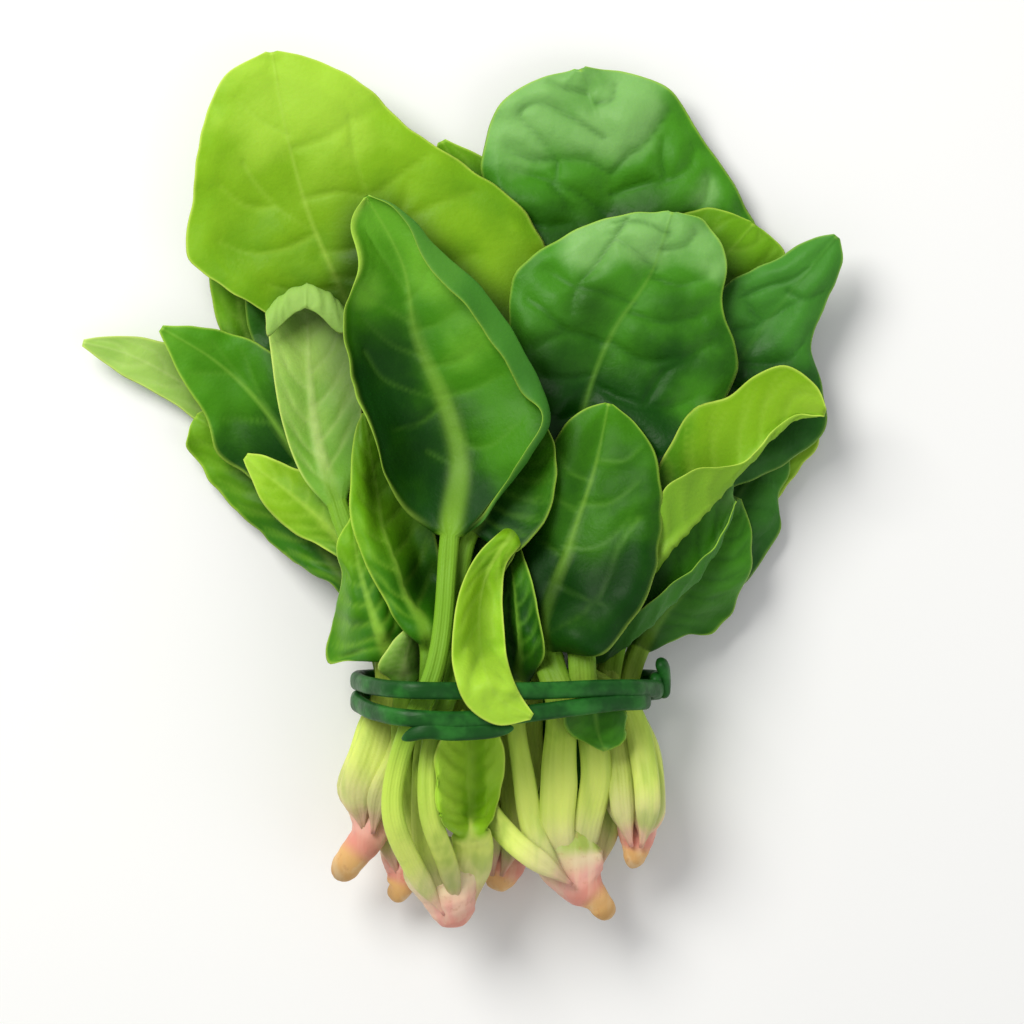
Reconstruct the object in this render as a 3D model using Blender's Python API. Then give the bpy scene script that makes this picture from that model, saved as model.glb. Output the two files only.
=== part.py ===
"""A bunch of spinach lying down, leaf tips toward +Y and roots toward -Y, tied with a cord.

Every leaf is one closed body: its stalk runs from the crown, under the tie, and opens into the
blade. Leaves are laid one after another, lowest first, and each one drapes over the heap below
it. Lengths in the tables are millimetres, in the frame of the heap: +X right, +Y to the tips.
"""
import bpy
import numpy as np

MM = 0.001
HALF_BLADE = 0.65          # half the thickness of a blade
GAP = 0.6                  # clearance kept over everything already laid down
COLUMNS = 7                # points across a blade
STALK_RINGS = 9
BLADE_RINGS = 10
STALK_WIDE = 1.6           # width of a stalk over its height
CORD = 2.15                # radius of the tie's cord
BAND_CENTRE = np.array([14.5, 24.0])

X0, Y0, NX, NY = -130, -140, 261, 281       # height map of the heap, one cell per millimetre


# ---------------------------------------------------------------- curves

def curve(points, t):
    """Smooth curve through the points at fractions t of its chord length."""
    p = np.array(points, float)
    step = np.linalg.norm(np.diff(p, axis=0), axis=1)
    s = np.concatenate([[0.0], np.cumsum(step)]) / step.sum()
    slope = np.gradient(p, s, axis=0)
    i = np.clip(np.searchsorted(s, t, side="right") - 1, 0, len(s) - 2)
    width = (s[i + 1] - s[i])[:, None]
    f = (t[:, None] - s[i][:, None]) / width
    return ((2 * f**3 - 3 * f**2 + 1) * p[i] + (f**3 - 2 * f**2 + f) * width * slope[i]
            + (3 * f**2 - 2 * f**3) * p[i + 1] + (f**3 - f**2) * width * slope[i + 1])


def through(knots, values, at):
    """Smooth curve through values given at the knots, along the first axis."""
    slope = np.gradient(values, knots, axis=0)
    i = np.clip(np.searchsorted(knots, at, side="right") - 1, 0, len(knots) - 2)
    spread = (slice(None),) + (None,) * (values.ndim - 1)
    w = (knots[i + 1] - knots[i])[spread]
    f = (np.clip(at, knots[0], knots[-1]) - knots[i])[spread] / w
    return ((2 * f**3 - 3 * f**2 + 1) * values[i] + (f**3 - 2 * f**2 + f) * w * slope[i]
            + (3 * f**2 - 2 * f**3) * values[i + 1] + (f**3 - f**2) * w * slope[i + 1])


def smooth(x):
    x = np.clip(x, 0.0, 1.0)
    return x * x * (3 - 2 * x)


def with_z(points):
    return [tuple(p) + (0.0,) * (3 - len(p)) for p in points]


# ---------------------------------------------------------------- the heap below

def disc(radius):
    r = int(np.ceil(radius))
    return [(i, j) for i in range(-r, r + 1) for j in range(-r, r + 1)
            if i * i + j * j <= radius * radius + 0.1]


def dilate(height, radius):
    out = height.copy()
    r = int(np.ceil(radius))
    pad = np.pad(height, r, mode="edge")
    for i, j in disc(radius):
        np.maximum(out, pad[r + i:r + i + NY, r + j:r + j + NX], out=out)
    return out


def blur(height, radius):
    r = int(np.ceil(radius))
    pad = np.pad(height, r, mode="edge")
    cells = disc(radius)
    return sum(pad[r + i:r + i + NY, r + j:r + j + NX] for i, j in cells) / len(cells)


def envelope(height, radius):
    """A smooth sheet that is never lower than the heap."""
    return blur(dilate(height, radius), radius)


def sample(grid, x, y):
    gx = np.clip(x - X0, 0, NX - 1.001)
    gy = np.clip(y - Y0, 0, NY - 1.001)
    i, j = gy.astype(int), gx.astype(int)
    fy, fx = gy - i, gx - j
    return ((grid[i, j] * (1 - fx) + grid[i, j + 1] * fx) * (1 - fy)
            + (grid[i + 1, j] * (1 - fx) + grid[i + 1, j + 1] * fx) * fy)


def cradle():
    """Floor of the heap: flat, but rounded where the stalks are held in a bundle."""
    x, y = np.meshgrid(X0 + np.arange(NX), Y0 + np.arange(NY))
    across = np.abs(x - 14.5) / 43.0
    round_floor = (4 + 10 * across**2.5) * smooth((1.25 - across) / 0.2)
    held = smooth((y + 118) / 25) * smooth((-4 - y) / 38)
    return round_floor * held


def triangle_heights(corners):
    """Grid cells covered by a triangle and its heights there."""
    (ax, ay, az), (bx, by, bz), (cx, cy, cz) = corners
    j0, j1 = int(np.ceil(min(ax, bx, cx) - X0)), int(np.floor(max(ax, bx, cx) - X0))
    i0, i1 = int(np.ceil(min(ay, by, cy) - Y0)), int(np.floor(max(ay, by, cy) - Y0))
    area = (bx - ax) * (cy - ay) - (cx - ax) * (by - ay)
    if j1 < j0 or i1 < i0 or abs(area) < 1e-9:
        return None
    x, y = np.meshgrid(X0 + np.arange(j0, j1 + 1), Y0 + np.arange(i0, i1 + 1))
    b = ((x - ax) * (cy - ay) - (cx - ax) * (y - ay)) / area
    c = ((bx - ax) * (y - ay) - (x - ax) * (by - ay)) / area
    inside = (b >= -1e-6) & (c >= -1e-6) & (b + c <= 1 + 1e-6)
    return slice(i0, i1 + 1), slice(j0, j1 + 1), inside, az + b * (bz - az) + c * (cz - az)


def highest(verts, faces):
    """Highest surface of a body over every cell it covers."""
    high = np.full((NY, NX), -np.inf)
    for corners in verts[faces]:
        hit = triangle_heights(corners)
        if hit:
            rows, cols, inside, z = hit
            high[rows, cols] = np.maximum(high[rows, cols], np.where(inside, z, -np.inf))
    return high


# ---------------------------------------------------------------- bodies

def ring_faces(rings, around):
    """Triangles of a tube of rings with both ends closed by fans."""
    k = np.arange(around)
    faces = []
    for r in range(rings - 1):
        a, b = r * around + k, r * around + (k + 1) % around
        c, d = a + around, b + around
        faces += list(zip(a, b, d)) + list(zip(a, d, c))
    last = (rings - 1) * around
    faces += [(0, j + 1, j) for j in range(1, around - 1)]
    faces += [(last, last + j, last + j + 1) for j in range(1, around - 1)]
    return np.array(faces)


def outward(verts, faces):
    a, b, c = (verts[faces[:, k]] for k in range(3))
    volume = np.einsum("ij,ij->i", a, np.cross(b, c)).sum()
    return faces if volume > 0 else faces[:, ::-1]


def opening(leaf):
    """Fraction of a leaf's length at which its stalk opens into the blade."""
    axis = np.array(leaf["stalk"] + with_z(leaf["mid"]), float)
    chord = np.linalg.norm(np.diff(axis, axis=0), axis=1)
    return chord[:len(leaf["stalk"])].sum() / chord.sum()


def coarse_rows(leaf):
    opens = opening(leaf)
    blade = opens + (1 - opens) * np.linspace(0.02, 0.985, leaf.get("rings", BLADE_RINGS))
    return np.concatenate([np.linspace(0.0, opens * 0.97, STALK_RINGS), blade])


def spread(leaf, t, v):
    """A leaf before it is draped: its points, the axis and the stalk's radius along it."""
    mid, opens = with_z(leaf["mid"]), opening(leaf)
    s = np.clip((t - opens) / (1 - opens), 0, 1)
    centre = curve(leaf["stalk"] + mid, t)
    ahead = np.gradient(centre, t, axis=0)
    side = np.stack([ahead[:, 1], -ahead[:, 0]], axis=1)
    side /= np.linalg.norm(side, axis=1)[:, None]

    guides = [(0.0, centre)]
    for key, sign in (("left", -1), ("right", 1)):
        folds = leaf[key] if isinstance(leaf[key][0], list) else [leaf[key]]
        for n, points in enumerate(folds):
            points = with_z(points)
            start, end = mid[0][:2] + (0.0,), mid[-1][:2] + (points[-1][2],)
            line = curve([start] + points + [end], s)
            line[:, 2] += centre[:, 2]
            line[s == 0] = centre[s == 0]
            guides.append((sign * (1.0 if n == len(folds) - 1 else leaf["fold_at"]), line))
    guides.sort(key=lambda g: g[0])
    lines = np.stack([line for _, line in guides])
    sheet = through(np.array([at for at, _ in guides]), lines, v).transpose(1, 0, 2)

    stalk_r, base_r = leaf["radius"]
    radius = np.interp(t, [0, 0.4 * opens, opens, 1], [base_r, stalk_r, stalk_r * 0.95, 0.5])
    sheet[:, :, :2] += side[:, None, :] * (STALK_WIDE * radius[:, None] * v[None, :])[:, :, None]
    if "curl" in leaf:
        line_y, roll, press = leaf["curl"]
        across = (sheet[:, :, 0] - centre[-1, 0]) / roll
        line_y = line_y - 0.38 * roll * np.clip(across, -2, 2)**2
        turned = np.clip(sheet[:, :, 1] - line_y, 0, None) / roll
        sheet[:, :, 1] = np.minimum(sheet[:, :, 1], line_y) + roll * np.sin(turned)
        sheet[:, :, 2] += press * roll * (1 - np.cos(turned))
    return sheet, centre, radius, s


def drape(leaf, t, v, bed):
    """Middle surface of a leaf laid on the bed, and half the thickness at each point."""
    sheet, centre, radius, s = spread(leaf, t, v)
    open_up = np.sin(np.pi * s**0.8)[:, None]
    far = np.abs(v)[None, :]
    half = np.where(v < 0, 0, 1)
    cup = np.array(leaf.get("cup", (0.5, 0.5)), float)[half][None, :]
    edge = np.array(leaf.get("edge", (-0.5, -0.5)), float)[half][None, :]
    waves, height = leaf.get("ruffle", (2.5, 0.3))
    relief = open_up * (cup * 4 * far * (1 - far) + edge * far**2
                        + height * far**2 * np.sin(2 * np.pi * waves * s[:, None] + 2.2 * half))
    relief = relief - relief.min(axis=1, keepdims=True) * smooth(s * 6)[:, None]
    spine = centre[:, 2][:, None]
    under = bed(sheet[:, :, 0], sheet[:, :, 1], smooth(s * 4)[:, None])
    rest = 0.5 * (spine + under + np.sqrt((spine - under) ** 2 + 1.0))
    flat = smooth(s * 5)[:, None]
    radius = radius[:, None]
    rounded = np.sqrt(np.clip(1 - v**2, 0, 1))[None, :]
    half_thick = radius * rounded * (1 - flat)
    half_thick += (HALF_BLADE * rounded + np.where(far < 0.1, 0.35 * radius, 0)) * flat
    clear = radius * (1 - flat) + HALF_BLADE * flat
    sheet[:, :, 2] += rest + clear - spine + relief
    return sheet, half_thick


def wrap(sheet, over, under):
    """Points of the closed body whose skin lies over and under a sheet."""
    normal = np.cross(np.gradient(sheet, axis=1), np.gradient(sheet, axis=0))
    normal /= np.linalg.norm(normal, axis=2)[:, :, None] + 1e-9
    top, bottom = sheet + normal * over[:, :, None], sheet - normal * under[:, :, None]
    return np.concatenate([top, bottom[:, -2:0:-1]], axis=1)


class Heap:
    """The pieces laid so far, as one height map."""

    def __init__(self):
        self.top = cradle()
        self.bodies = {}
        self.sheets = {}
        self.ends = []

    def keep(self, name, verts, faces):
        self.bodies[name] = (verts, faces)
        self.top = np.maximum(self.top, dilate(highest(verts, faces), 1.0))

    def shortfall(self, verts, face):
        """How far a triangle is too low to clear the heap."""
        hit = triangle_heights(verts[face])
        if not hit:
            return 0.0
        rows, cols, inside, z = hit
        return np.where(inside, self.top[rows, cols] + GAP - z, 0).max(initial=0)

    def lay(self, leaf):
        """Drape a leaf over the heap, then lift the places that would still cut into it."""
        wide = envelope(self.top, leaf.get("stiff", 8))

        def bed(x, y, blade):
            under_stalk = sample(self.top, x[:, 1:-1], y[:, 1:-1]).max(axis=1, keepdims=True)
            return under_stalk * (1 - blade) + sample(wide, x, y) * blade

        v = -np.cos(np.linspace(0, np.pi, COLUMNS))
        sheet, half = drape(leaf, coarse_rows(leaf), v, bed)
        rings = wrap(sheet, half, half)
        around = rings.shape[1]
        verts = rings.reshape(-1, 3)
        faces = outward(verts, ring_faces(len(rings), around))
        need = np.zeros(sheet.shape[:2])
        for face in faces:
            place = face % around
            place = np.where(place < COLUMNS, place, around - place)
            need[face // around, place] = np.maximum(need[face // around, place], self.shortfall(verts, face))
        need[:STALK_RINGS + 1] = need[:STALK_RINGS + 1].max(axis=1, keepdims=True)
        spot = sheet[:, :, :2].reshape(-1, 2)
        apart = np.linalg.norm(spot[:, None] - spot[None, :], axis=2)
        lifted = (need.reshape(1, -1) - leaf.get("give", 1.0) * apart).max(axis=1).clip(0)
        lifted = lifted.reshape(need.shape)
        sheet[:, :, 2] += lifted
        verts[:, 2] += np.concatenate([lifted, lifted[:, -2:0:-1]], axis=1).ravel()
        self.sheets[leaf["name"]] = sheet
        self.keep(leaf["name"], verts, faces)
        self.ends.append(verts[:around].mean(axis=0))

    def lay_tie(self):
        line = tie_path(self.bodies.values())
        tail = tail_path(line)
        for name, path, radius in (("tie_cord", line, CORD), ("tie_tail", tail, CORD - 0.15),
                                   ("tie_knot", knot_path(line), CORD + 0.15)):
            self.sheets[name] = path
            self.keep(name, *tube(path, radius))

    def lay_crown(self, name, stations):
        """Set a crown at the height of its own stalk ends, or on whatever is under it."""
        x, y, level, reach, _ = stations[-1]
        ends = [e[2] for e in self.ends if abs(e[0] - x) < reach + 2 and -1 < e[1] - y < 6]
        rise = (max(ends) + min(ends)) / 2 - level
        verts, faces = crown_body([(x, y, z + rise, w, h) for x, y, z, w, h in stations])
        lack = max(self.shortfall(verts, face) for face in faces)
        verts[:, 2] += lack
        self.sheets[name] = rise + lack
        self.keep(name, verts, faces)

# ---------------------------------------------------------------- leaves, lowest first

LIME, BRIGHT, MID, DARK, BLUISH, PALE = ((0.22, 0.42, 0.02), (0.14, 0.33, 0.02), (0.08, 0.24, 0.02),
                                         (0.04, 0.17, 0.02), (0.03, 0.13, 0.03), (0.26, 0.48, 0.14))

LEAVES = [
    dict(name="under_leaf_centre", green=MID, radius=(1.79, 1.78),
         stalk=[(9, -99, 6), (2, -80, 6), (-0.5, -57, 6)],
         mid=[(4, -28, 4), (6, 20, 1), (2, 60, 1), (-4, 90, 2)],
         left=[(-14, -8), (-25, 28), (-20, 68)], right=[(24, -4), (30, 30), (22, 68)]),
    dict(name="dark_base_leaf", green=DARK, radius=(1.87, 2.04), stiff=4, rings=8,
         stalk=[(15, -99, 8), (15, -96, 8)], mid=[(15, -94, 8), (14.5, -84, 6), (15, -70, 6), (16, -50, 6)],
         left=[(7, -92), (0, -80), (-1, -60)], right=[(23, -92), (28, -80), (28, -60)],
         edge=(-1, -1), ruffle=(2, 0.3)),
    dict(name="dark_base_leaf_right", green=DARK, radius=(1.87, 2.04), stiff=4, rings=8,
         stalk=[(46.5, -93, 8), (46, -90, 8)],
         mid=[(45.5, -88, 8), (43, -78, 6), (40, -66, 6), (37, -44, 6)],
         left=[(35, -89), (28, -78), (26.5, -60)], right=[(51, -87), (52, -76), (49, -60)],
         edge=(-1, -1), ruffle=(2, 0.3)),
    dict(name="under_leaf_left", green=MID, radius=(1.79, 1.78),
         stalk=[(-19.5, -102, 6), (-17, -84, 7), (-14, -57, 8)],
         mid=[(-12, -38, 5), (-38, -6, 1), (-54, 12, 1), (-68, 32, 2)],
         left=[(-30, -27), (-48, -10), (-64, 8)], right=[(-14, -12), (-34, 18), (-52, 34)]),
    dict(name="under_leaf_upper_left", green=BRIGHT, radius=(1.79, 1.78),
         stalk=[(-13.5, -102, 6), (-9, -84, 6), (-8, -57, 7)],
         mid=[(-13, -26, 4), (-33, 20, 1), (-46, 60, 2), (-53, 103, 4)],
         left=[(-30, -6), (-54, 22), (-65, 60), (-66, 88)],
         right=[(2, -4), (-10, 30), (-24, 68), (-38, 94)]),
    dict(name="under_leaf_upper_right", green=DARK, radius=(1.79, 1.78),
         stalk=[(15, -99, 6), (20, -80, 6), (21, -57, 6)],
         mid=[(25, -28, 4), (38, 20, 1), (44, 60, 2), (38, 108, 4)],
         left=[(8, -4), (14, 40), (15, 78), (21, 100)], right=[(46, -6), (66, 28), (72, 68), (60, 98)]),
    dict(name="far_left_leaf", green=PALE, radius=(1.79, 1.78), stiff=5,
         stalk=[(-19.5, -102, 8), (-22, -84, 10), (-20.5, -57, 10)],
         mid=[(-30, -26, 8), (-58, 14, 4), (-80, 31, 5), (-97, 39.5, 7), (-108, 42, 9)],
         left=[(-42, -18), (-62, 10), (-80, 25), (-98, 35)],
         right=[(-30, -6), (-54, 26), (-78, 39), (-99, 43)],
         edge=(1, 1.5), cup=(-0.5, -0.5), ruffle=(1, 0.2)),
    dict(name="lower_left_leaf", green=BRIGHT, radius=(1.79, 1.78), stiff=6,
         stalk=[(-19.5, -102, 12), (-22, -84, 12), (-20.5, -57, 12)],
         mid=[(-27, -34, 8), (-42, -12, 4), (-56, 4, 4), (-67, 15, 5), (-76, 21, 7)],
         left=[(-33, -26.5), (-45, -19.5), (-56, -11), (-65, -3), (-73, 7), (-77.5, 15)],
         right=[(-27, -15), (-36, 5), (-48, 19), (-64, 26)], edge=(0.5, -1), ruffle=(4, 0.6)),
    dict(name="top_centre_leaf", green=BRIGHT, radius=(1.79, 1.78), stiff=6,
         stalk=[(9, -99, 10), (7.5, -80, 8), (7, -57, 8)],
         mid=[(7, 0, 12), (6, 60, 6), (0, 90, 7), (-5.5, 100, 8)],
         left=[(-6, 20), (-8, 60), (-9, 88)], right=[(20, 20), (20, 60), (12, 90)],
         edge=(-0.5, 1.5), ruffle=(1, 0.2)),
    dict(name="upper_right_leaf", green=DARK, radius=(1.87, 1.78),
         stalk=[(15, -99, 10), (14.5, -80, 8), (14.5, -57, 8)],
         mid=[(32, 0, 10), (40, 45, 6), (42, 80, 8), (40, 103, 11), (34, 120, 12)],
         left=[(20, 20), (13, 55), (10, 80), (7.5, 95), (11, 107.5), (20, 116)],
         right=[(50, 15), (70, 45), (84, 72), (78, 85), (69, 99), (58, 114), (45, 119)],
         cup=(1.5, 1.5), edge=(-2, -2.5)),
    dict(name="small_left_leaf", green=BRIGHT, radius=(1.79, 1.78), stiff=6,
         stalk=[(-13.5, -102, 10), (-15, -84, 12), (-14, -57, 12)],
         mid=[(-38, -6, 10), (-56, 32, 5), (-63, 52, 7), (-62, 74, 8)],
         left=[(-50, 12), (-62, 36), (-69.5, 54), (-69, 68)], right=[(-36, 12), (-48, 36), (-54, 60)],
         ruffle=(2, 0.4)),
    dict(name="small_inner_left_leaf", green=DARK, radius=(1.79, 1.78), stiff=6,
         stalk=[(-13.5, -102, 14), (-9, -84, 12), (-8, -57, 12)],
         mid=[(-32, 0, 14), (-47, 30, 8), (-53, 52, 8), (-54, 70, 10)],
         left=[(-44, 12), (-56, 38), (-60, 54)], right=[(-30, 18), (-41, 40), (-47, 60)], ruffle=(2, 0.4)),
    dict(name="upper_left_leaf", green=LIME, radius=(1.95, 1.78), rings=12,
         stalk=[(9, -99, 14), (2, -82, 12), (-0.5, -57, 12)],
         mid=[(-18, 10, 20), (-33, 55, 14), (-42, 76, 16), (-48, 97, 19), (-53, 124, 22)],
         left=[(-30, 16), (-50, 49), (-66, 59), (-75, 66), (-74, 82), (-71, 103), (-65, 117)],
         right=[(2, 20), (20, 50), (23, 66), (17, 78), (0, 91.5), (-15, 101.5), (-28, 114), (-41, 121)],
         cup=(-1, 1), edge=(1.5, -1.5), ruffle=(3, 0.8)),
    "crown_back_centre", "crown_back_left",
    dict(name="under_leaf_right", green=DARK, radius=(1.79, 1.78),
         stalk=[(46.5, -93, 12), (39, -78, 9), (35, -57, 9)],
         mid=[(38, -42, 6), (58, 0, 2), (77, 26, 3), (92, 50, 5)],
         left=[(38, -14), (52, 24), (74, 50)], right=[(54, -36), (74, -16), (88, 4), (97, 30)]),
    dict(name="upper_right_low_leaf", green=BRIGHT, radius=(1.79, 1.78), stiff=6,
         stalk=[(46.5, -93, 14), (45, -78, 11), (42, -57, 11)],
         mid=[(50, 0, 8), (60, 40, 6), (72, 62, 8), (84, 76, 11)],
         left=[(44, 24), (50, 52), (58, 74), (70, 79.5)], right=[(62, 18), (78, 42), (90, 58), (92, 68)],
         cup=(1, 1), edge=(-1, -1)),
    dict(name="small_right_leaf", green=LIME, radius=(1.79, 1.78), stiff=6,
         stalk=[(52.5, -93, 14), (52, -78, 14), (47.5, -57, 14)],
         mid=[(58, -30, 12), (80, -2, 6), (91, 10, 7), (101, 21, 8)],
         left=[(68, -6), (80, 12), (92, 22)], right=[(78, -16), (90, -1), (97, 8), (102, 15)],
         ruffle=(2, 0.4)),
    dict(name="lobed_right_leaf", green=BLUISH, radius=(1.79, 1.78), stiff=6,
         stalk=[(46.5, -93, 16), (39, -76, 14), (35, -57, 14)],
         mid=[(62, -20, 13), (76, -6, 7), (84, 6, 8), (91, 21, 10)],
         left=[(60, -4), (70, 10), (80, 20)],
         right=[(70, -30), (80, -25), (85, -19), (91, -8), (90, -3), (93, 8)],
         ruffle=(3, 0.6), edge=(-1, -1.5)),
    dict(name="lower_right_leaf", green=DARK, radius=(1.79, 1.78), stiff=6,
         stalk=[(52.5, -93, 18), (52, -78, 18), (47.5, -57, 18)],
         mid=[(51, -45, 18), (63, -28, 10), (73, -16, 9), (79, -2, 10)],
         left=[(53, -32), (60, -14), (70, -2)],
         right=[(63, -40), (71, -39.5), (75, -35), (80, -25), (82, -12)], ruffle=(3, 0.5), edge=(-1, -1.5)),
    dict(name="pointed_right_leaf", green=BLUISH, radius=(1.95, 1.78),
         stalk=[(46.5, -93, 20), (45, -78, 17), (42, -57, 17)],
         mid=[(58, -6, 22), (72, 26, 13), (86, 46, 14), (97, 60, 17), (107, 72, 19)],
         left=[(56, 14), (66, 40), (76, 57), (92, 66), (101, 71)],
         right=[(72, 0), (90, 8), (103, 20), (101.5, 33), (99, 42), (104, 55), (108, 66)],
         cup=(1.5, 1.5), edge=(-1.5, -2), ruffle=(2, 0.5)),
    dict(name="folded_right_leaf", green=DARK, radius=(1.95, 1.78), stiff=6, rings=11,
         stalk=[(52.5, -93, 22), (52, -78, 22), (46.8, -60, 24)],
         mid=[(34, -50, 31), (45, -43.5, 19), (57, -32.5, 19), (66, -24.5, 19), (73, -13, 19), (78, -3, 20)],
         left=[(38, -30, 0), (50, -10, 0), (60, 2, 0), (70, 7, 1), (77, 5, 0)],
         right=[(32, -46, 4), (41, -39, 6), (49, -31, 7), (56, -27, 7), (66, -19, 5), (73, -11, 3)],
         cup=(-0.5, 0.5), edge=(0.5, 0), ruffle=(3, 0.3)),
    "crown_right",
    dict(name="broad_left_leaf", green=MID, radius=(1.79, 1.78), stiff=6,
         stalk=[(-28, -85, 16), (-24, -74, 18), (-20.5, -57, 18)],
         mid=[(-33, -10, 18), (-46, 10, 11), (-58, 26, 12), (-70, 37, 14), (-85, 46, 16)],
         left=[(-46, -4), (-60, 6), (-67, 11), (-71, 22), (-77.5, 31), (-82, 40)],
         right=[(-31, 8), (-42, 26), (-54, 38), (-65, 43.5), (-76, 45.5)], cup=(-0.5, 1), edge=(1, -1)),
    dict(name="lower_left_pale_leaf", green=LIME, radius=(1.79, 1.78), stiff=6,
         stalk=[(-22, -85, 16), (-17, -74, 18), (-14, -57, 18)],
         mid=[(-28, -20, 20), (-38, -9, 11), (-49, 0, 12), (-61, 9.5, 13)],
         left=[(-35, -15.5), (-43, -12), (-50, -8), (-57, 1)],
         right=[(-30, -8), (-39, 3), (-48, 5), (-56, 9)],
         cup=(-1, -0.5), edge=(1, 1), ruffle=(2, 0.4)),
    dict(name="rolled_left_leaf", green=PALE, radius=(1.95, 2.04), stiff=6, rings=15, curl=(51, 6.2, 0.62),
         stalk=[(-28, -85, 22), (-24, -74, 24), (-20.5, -57, 24)],
         mid=[(-34, -4, 24), (-39.5, 12, 15), (-42.2, 31, 16), (-43, 46, 17), (-43, 60, 18), (-43, 71, 18)],
         left=[(-41, 4, 3), (-47, 18, 5), (-50.5, 34, 5), (-52.4, 47, 4), (-53, 57, 2), (-52, 66, 1), (-48, 70, 0)],
         right=[(-31, 8, 3), (-29.5, 26, 3), (-31, 42, 3), (-33, 54, 2), (-33.5, 64, 1), (-37, 70, 0)],
         cup=(0, 0), edge=(0, 0), ruffle=(1, 0)),
    dict(name="draping_left_leaf", green=BRIGHT, radius=(1.79, 1.78), stiff=5,
         stalk=[(-22, -85, 22), (-17, -74, 24), (-14, -60, 24)],
         mid=[(-19, -47, 31), (-24, -34, 18), (-28, -20, 18), (-29.5, -7, 19)],
         left=[(-27, -47), (-35, -48), (-35, -38), (-32.5, -27), (-33, -19)],
         right=[(-17, -38), (-20, -28), (-25, -14)], cup=(0.5, 0.5), edge=(-1, -0.5), ruffle=(3, 0.4)),
    "crown_left",
    dict(name="round_right_leaf", green=DARK, radius=(2.11, 1.87), rings=12,
         stalk=[(35, -102, 24), (38.5, -80, 24), (35, -57, 26)],
         mid=[(34, -10, 26), (35.5, 24, 20), (43, 44, 22), (54, 61, 24), (60, 78.5, 25)],
         left=[(26, 2), (20, 22), (16, 44), (17, 60), (26, 68), (38, 74.5), (50, 77.5)],
         right=[(46, -4), (57, 6), (69, 19), (77, 38), (73, 53), (74, 66), (68, 76)],
         cup=(1.5, 1.5), edge=(-2, -2.5), ruffle=(2.5, 0.5)),
    dict(name="curled_right_leaf", green=LIME, radius=(1.95, 1.78), rings=13, stiff=5,
         stalk=[(40.5, -101, 24), (44, -80, 26), (42, -57, 28)],
         mid=[(51, -26, 26), (59, -15.5, 23), (70, -4, 24), (80, 7, 25), (88, 16, 26), (96, 21, 27), (103, 21, 26)],
         left=[(53, -8, -2), (60, 10, -2), (68, 22, -1), (77, 25, 1), (84, 31, 5), (91, 33.5, 7), (99, 29, 5)],
         right=[(52, -10, 4), (56, 2, 6), (64, 7, 7), (72, 7.5, 6), (79, 9, 4), (87, 17.5, 2), (95, 22, 1)],
         cup=(-1, 0.5), edge=(0, 0), ruffle=(2, 0.2)),
    dict(name="centre_right_leaf", green=MID, radius=(2.5, 2.04),
         stalk=[(29, -102, 26), (28, -80, 26), (28, -57, 28)],
         mid=[(24, -44, 30), (30, -18, 25), (38, 6, 26), (42, 24.5, 28)],
         left=[(20, -36), (20, -18), (24, -2), (28, 14), (36, 22.5)],
         right=[(34, -46), (46, -35), (53, -20), (55, 0), (51, 16)],
         cup=(1.5, 1.5), edge=(-2, -2), ruffle=(2, 0.4)),
    dict(name="inner_strap_leaf", green=MID, radius=(1.79, 1.7), stiff=4,
         stalk=[(23.5, -102, 24), (18, -80, 26), (16, -62, 28)],
         mid=[(17, -54, 30), (16.5, -40, 25), (15.5, -26, 26), (14, -12, 26)],
         left=[(13, -48), (11, -38), (11, -24)], right=[(21, -47), (20.5, -36), (18, -22)],
         edge=(0.5, 1), cup=(0, 0), ruffle=(1, 0)),
    dict(name="hidden_inner_leaf", green=MID, radius=(1.79, 1.7), stiff=5,
         stalk=[(25, -105.5, 30), (14, -97, 28), (8, -90, 26), (7, -72, 24), (7, -57, 24)],
         mid=[(6, -30, 28), (8, -6, 23), (8, 14, 23)],
         left=[(-2, -16), (-2, 2)], right=[(14, -16), (16, 2)],
         ruffle=(1, 0.2)),
    "crown_right_centre",
    dict(name="small_base_leaf", green=PALE, radius=(1.79, 1.78), stiff=4,
         stalk=[(-8, -105, 24), (-15, -80, 28), (-16, -62, 30)],
         mid=[(-15, -54, 30), (-14.5, -46, 22), (-12, -37, 23)],
         left=[(-20, -50), (-18, -44)], right=[(-11, -50), (-9, -42)], ruffle=(1, 0)),
    dict(name="narrow_left_leaf", green=BRIGHT, radius=(1.79, 1.78), stiff=5,
         stalk=[(-8, -105, 28), (-10, -80, 28), (-8.5, -57, 28)],
         mid=[(-8.5, -42, 30), (-15, -28, 25), (-20, -14, 25), (-24, 4, 26), (-26.5, 22, 26)],
         left=[(-13, -38), (-20, -27), (-26, -16), (-28.8, -5), (-29, 5), (-28.5, 15)],
         right=[(-7, -31), (-8, -15), (-13, 0), (-20, 14)], cup=(0.5, 0.5), edge=(0, -0.5), ruffle=(2, 0.3)),
    dict(name="cupped_centre_leaf", green=MID, radius=(2.18, 1.78), stiff=5,
         stalk=[(-3, -105, 26), (-8, -88, 28), (-7, -68, 30), (-1.5, -53, 30)],
         mid=[(3, -12, 30), (10, 0, 25), (17, 10, 26), (22, 21, 28)],
         left=[(2, 0), (8, 12), (15, 20)], right=[(12, -16), (22, -8), (25.4, 2), (25.5, 13)],
         cup=(-1, -1.5), edge=(0.5, 2), ruffle=(1, 0.2)),
    dict(name="large_front_leaf", green=MID, radius=(2.5, 2.04), rings=14, stiff=7, fold_at=0.72,
         stalk=[(-12.5, -105, 28), (-18, -90, 30), (-14, -67, 34), (-7.5, -53, 36)],
         mid=[(-2.5, -13, 34), (0, 10, 29), (-5, 27, 29), (-12, 43, 30), (-15.5, 62, 31), (-26, 82.5, 34)],
         left=[(-9, -9, 2), (-16, -3, 4), (-21, 3, 5), (-24, 13, 7), (-28, 22, 7), (-32, 36, 6), (-33, 50, 6),
               (-28.5, 63, 5), (-29.5, 75, 2)],
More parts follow.
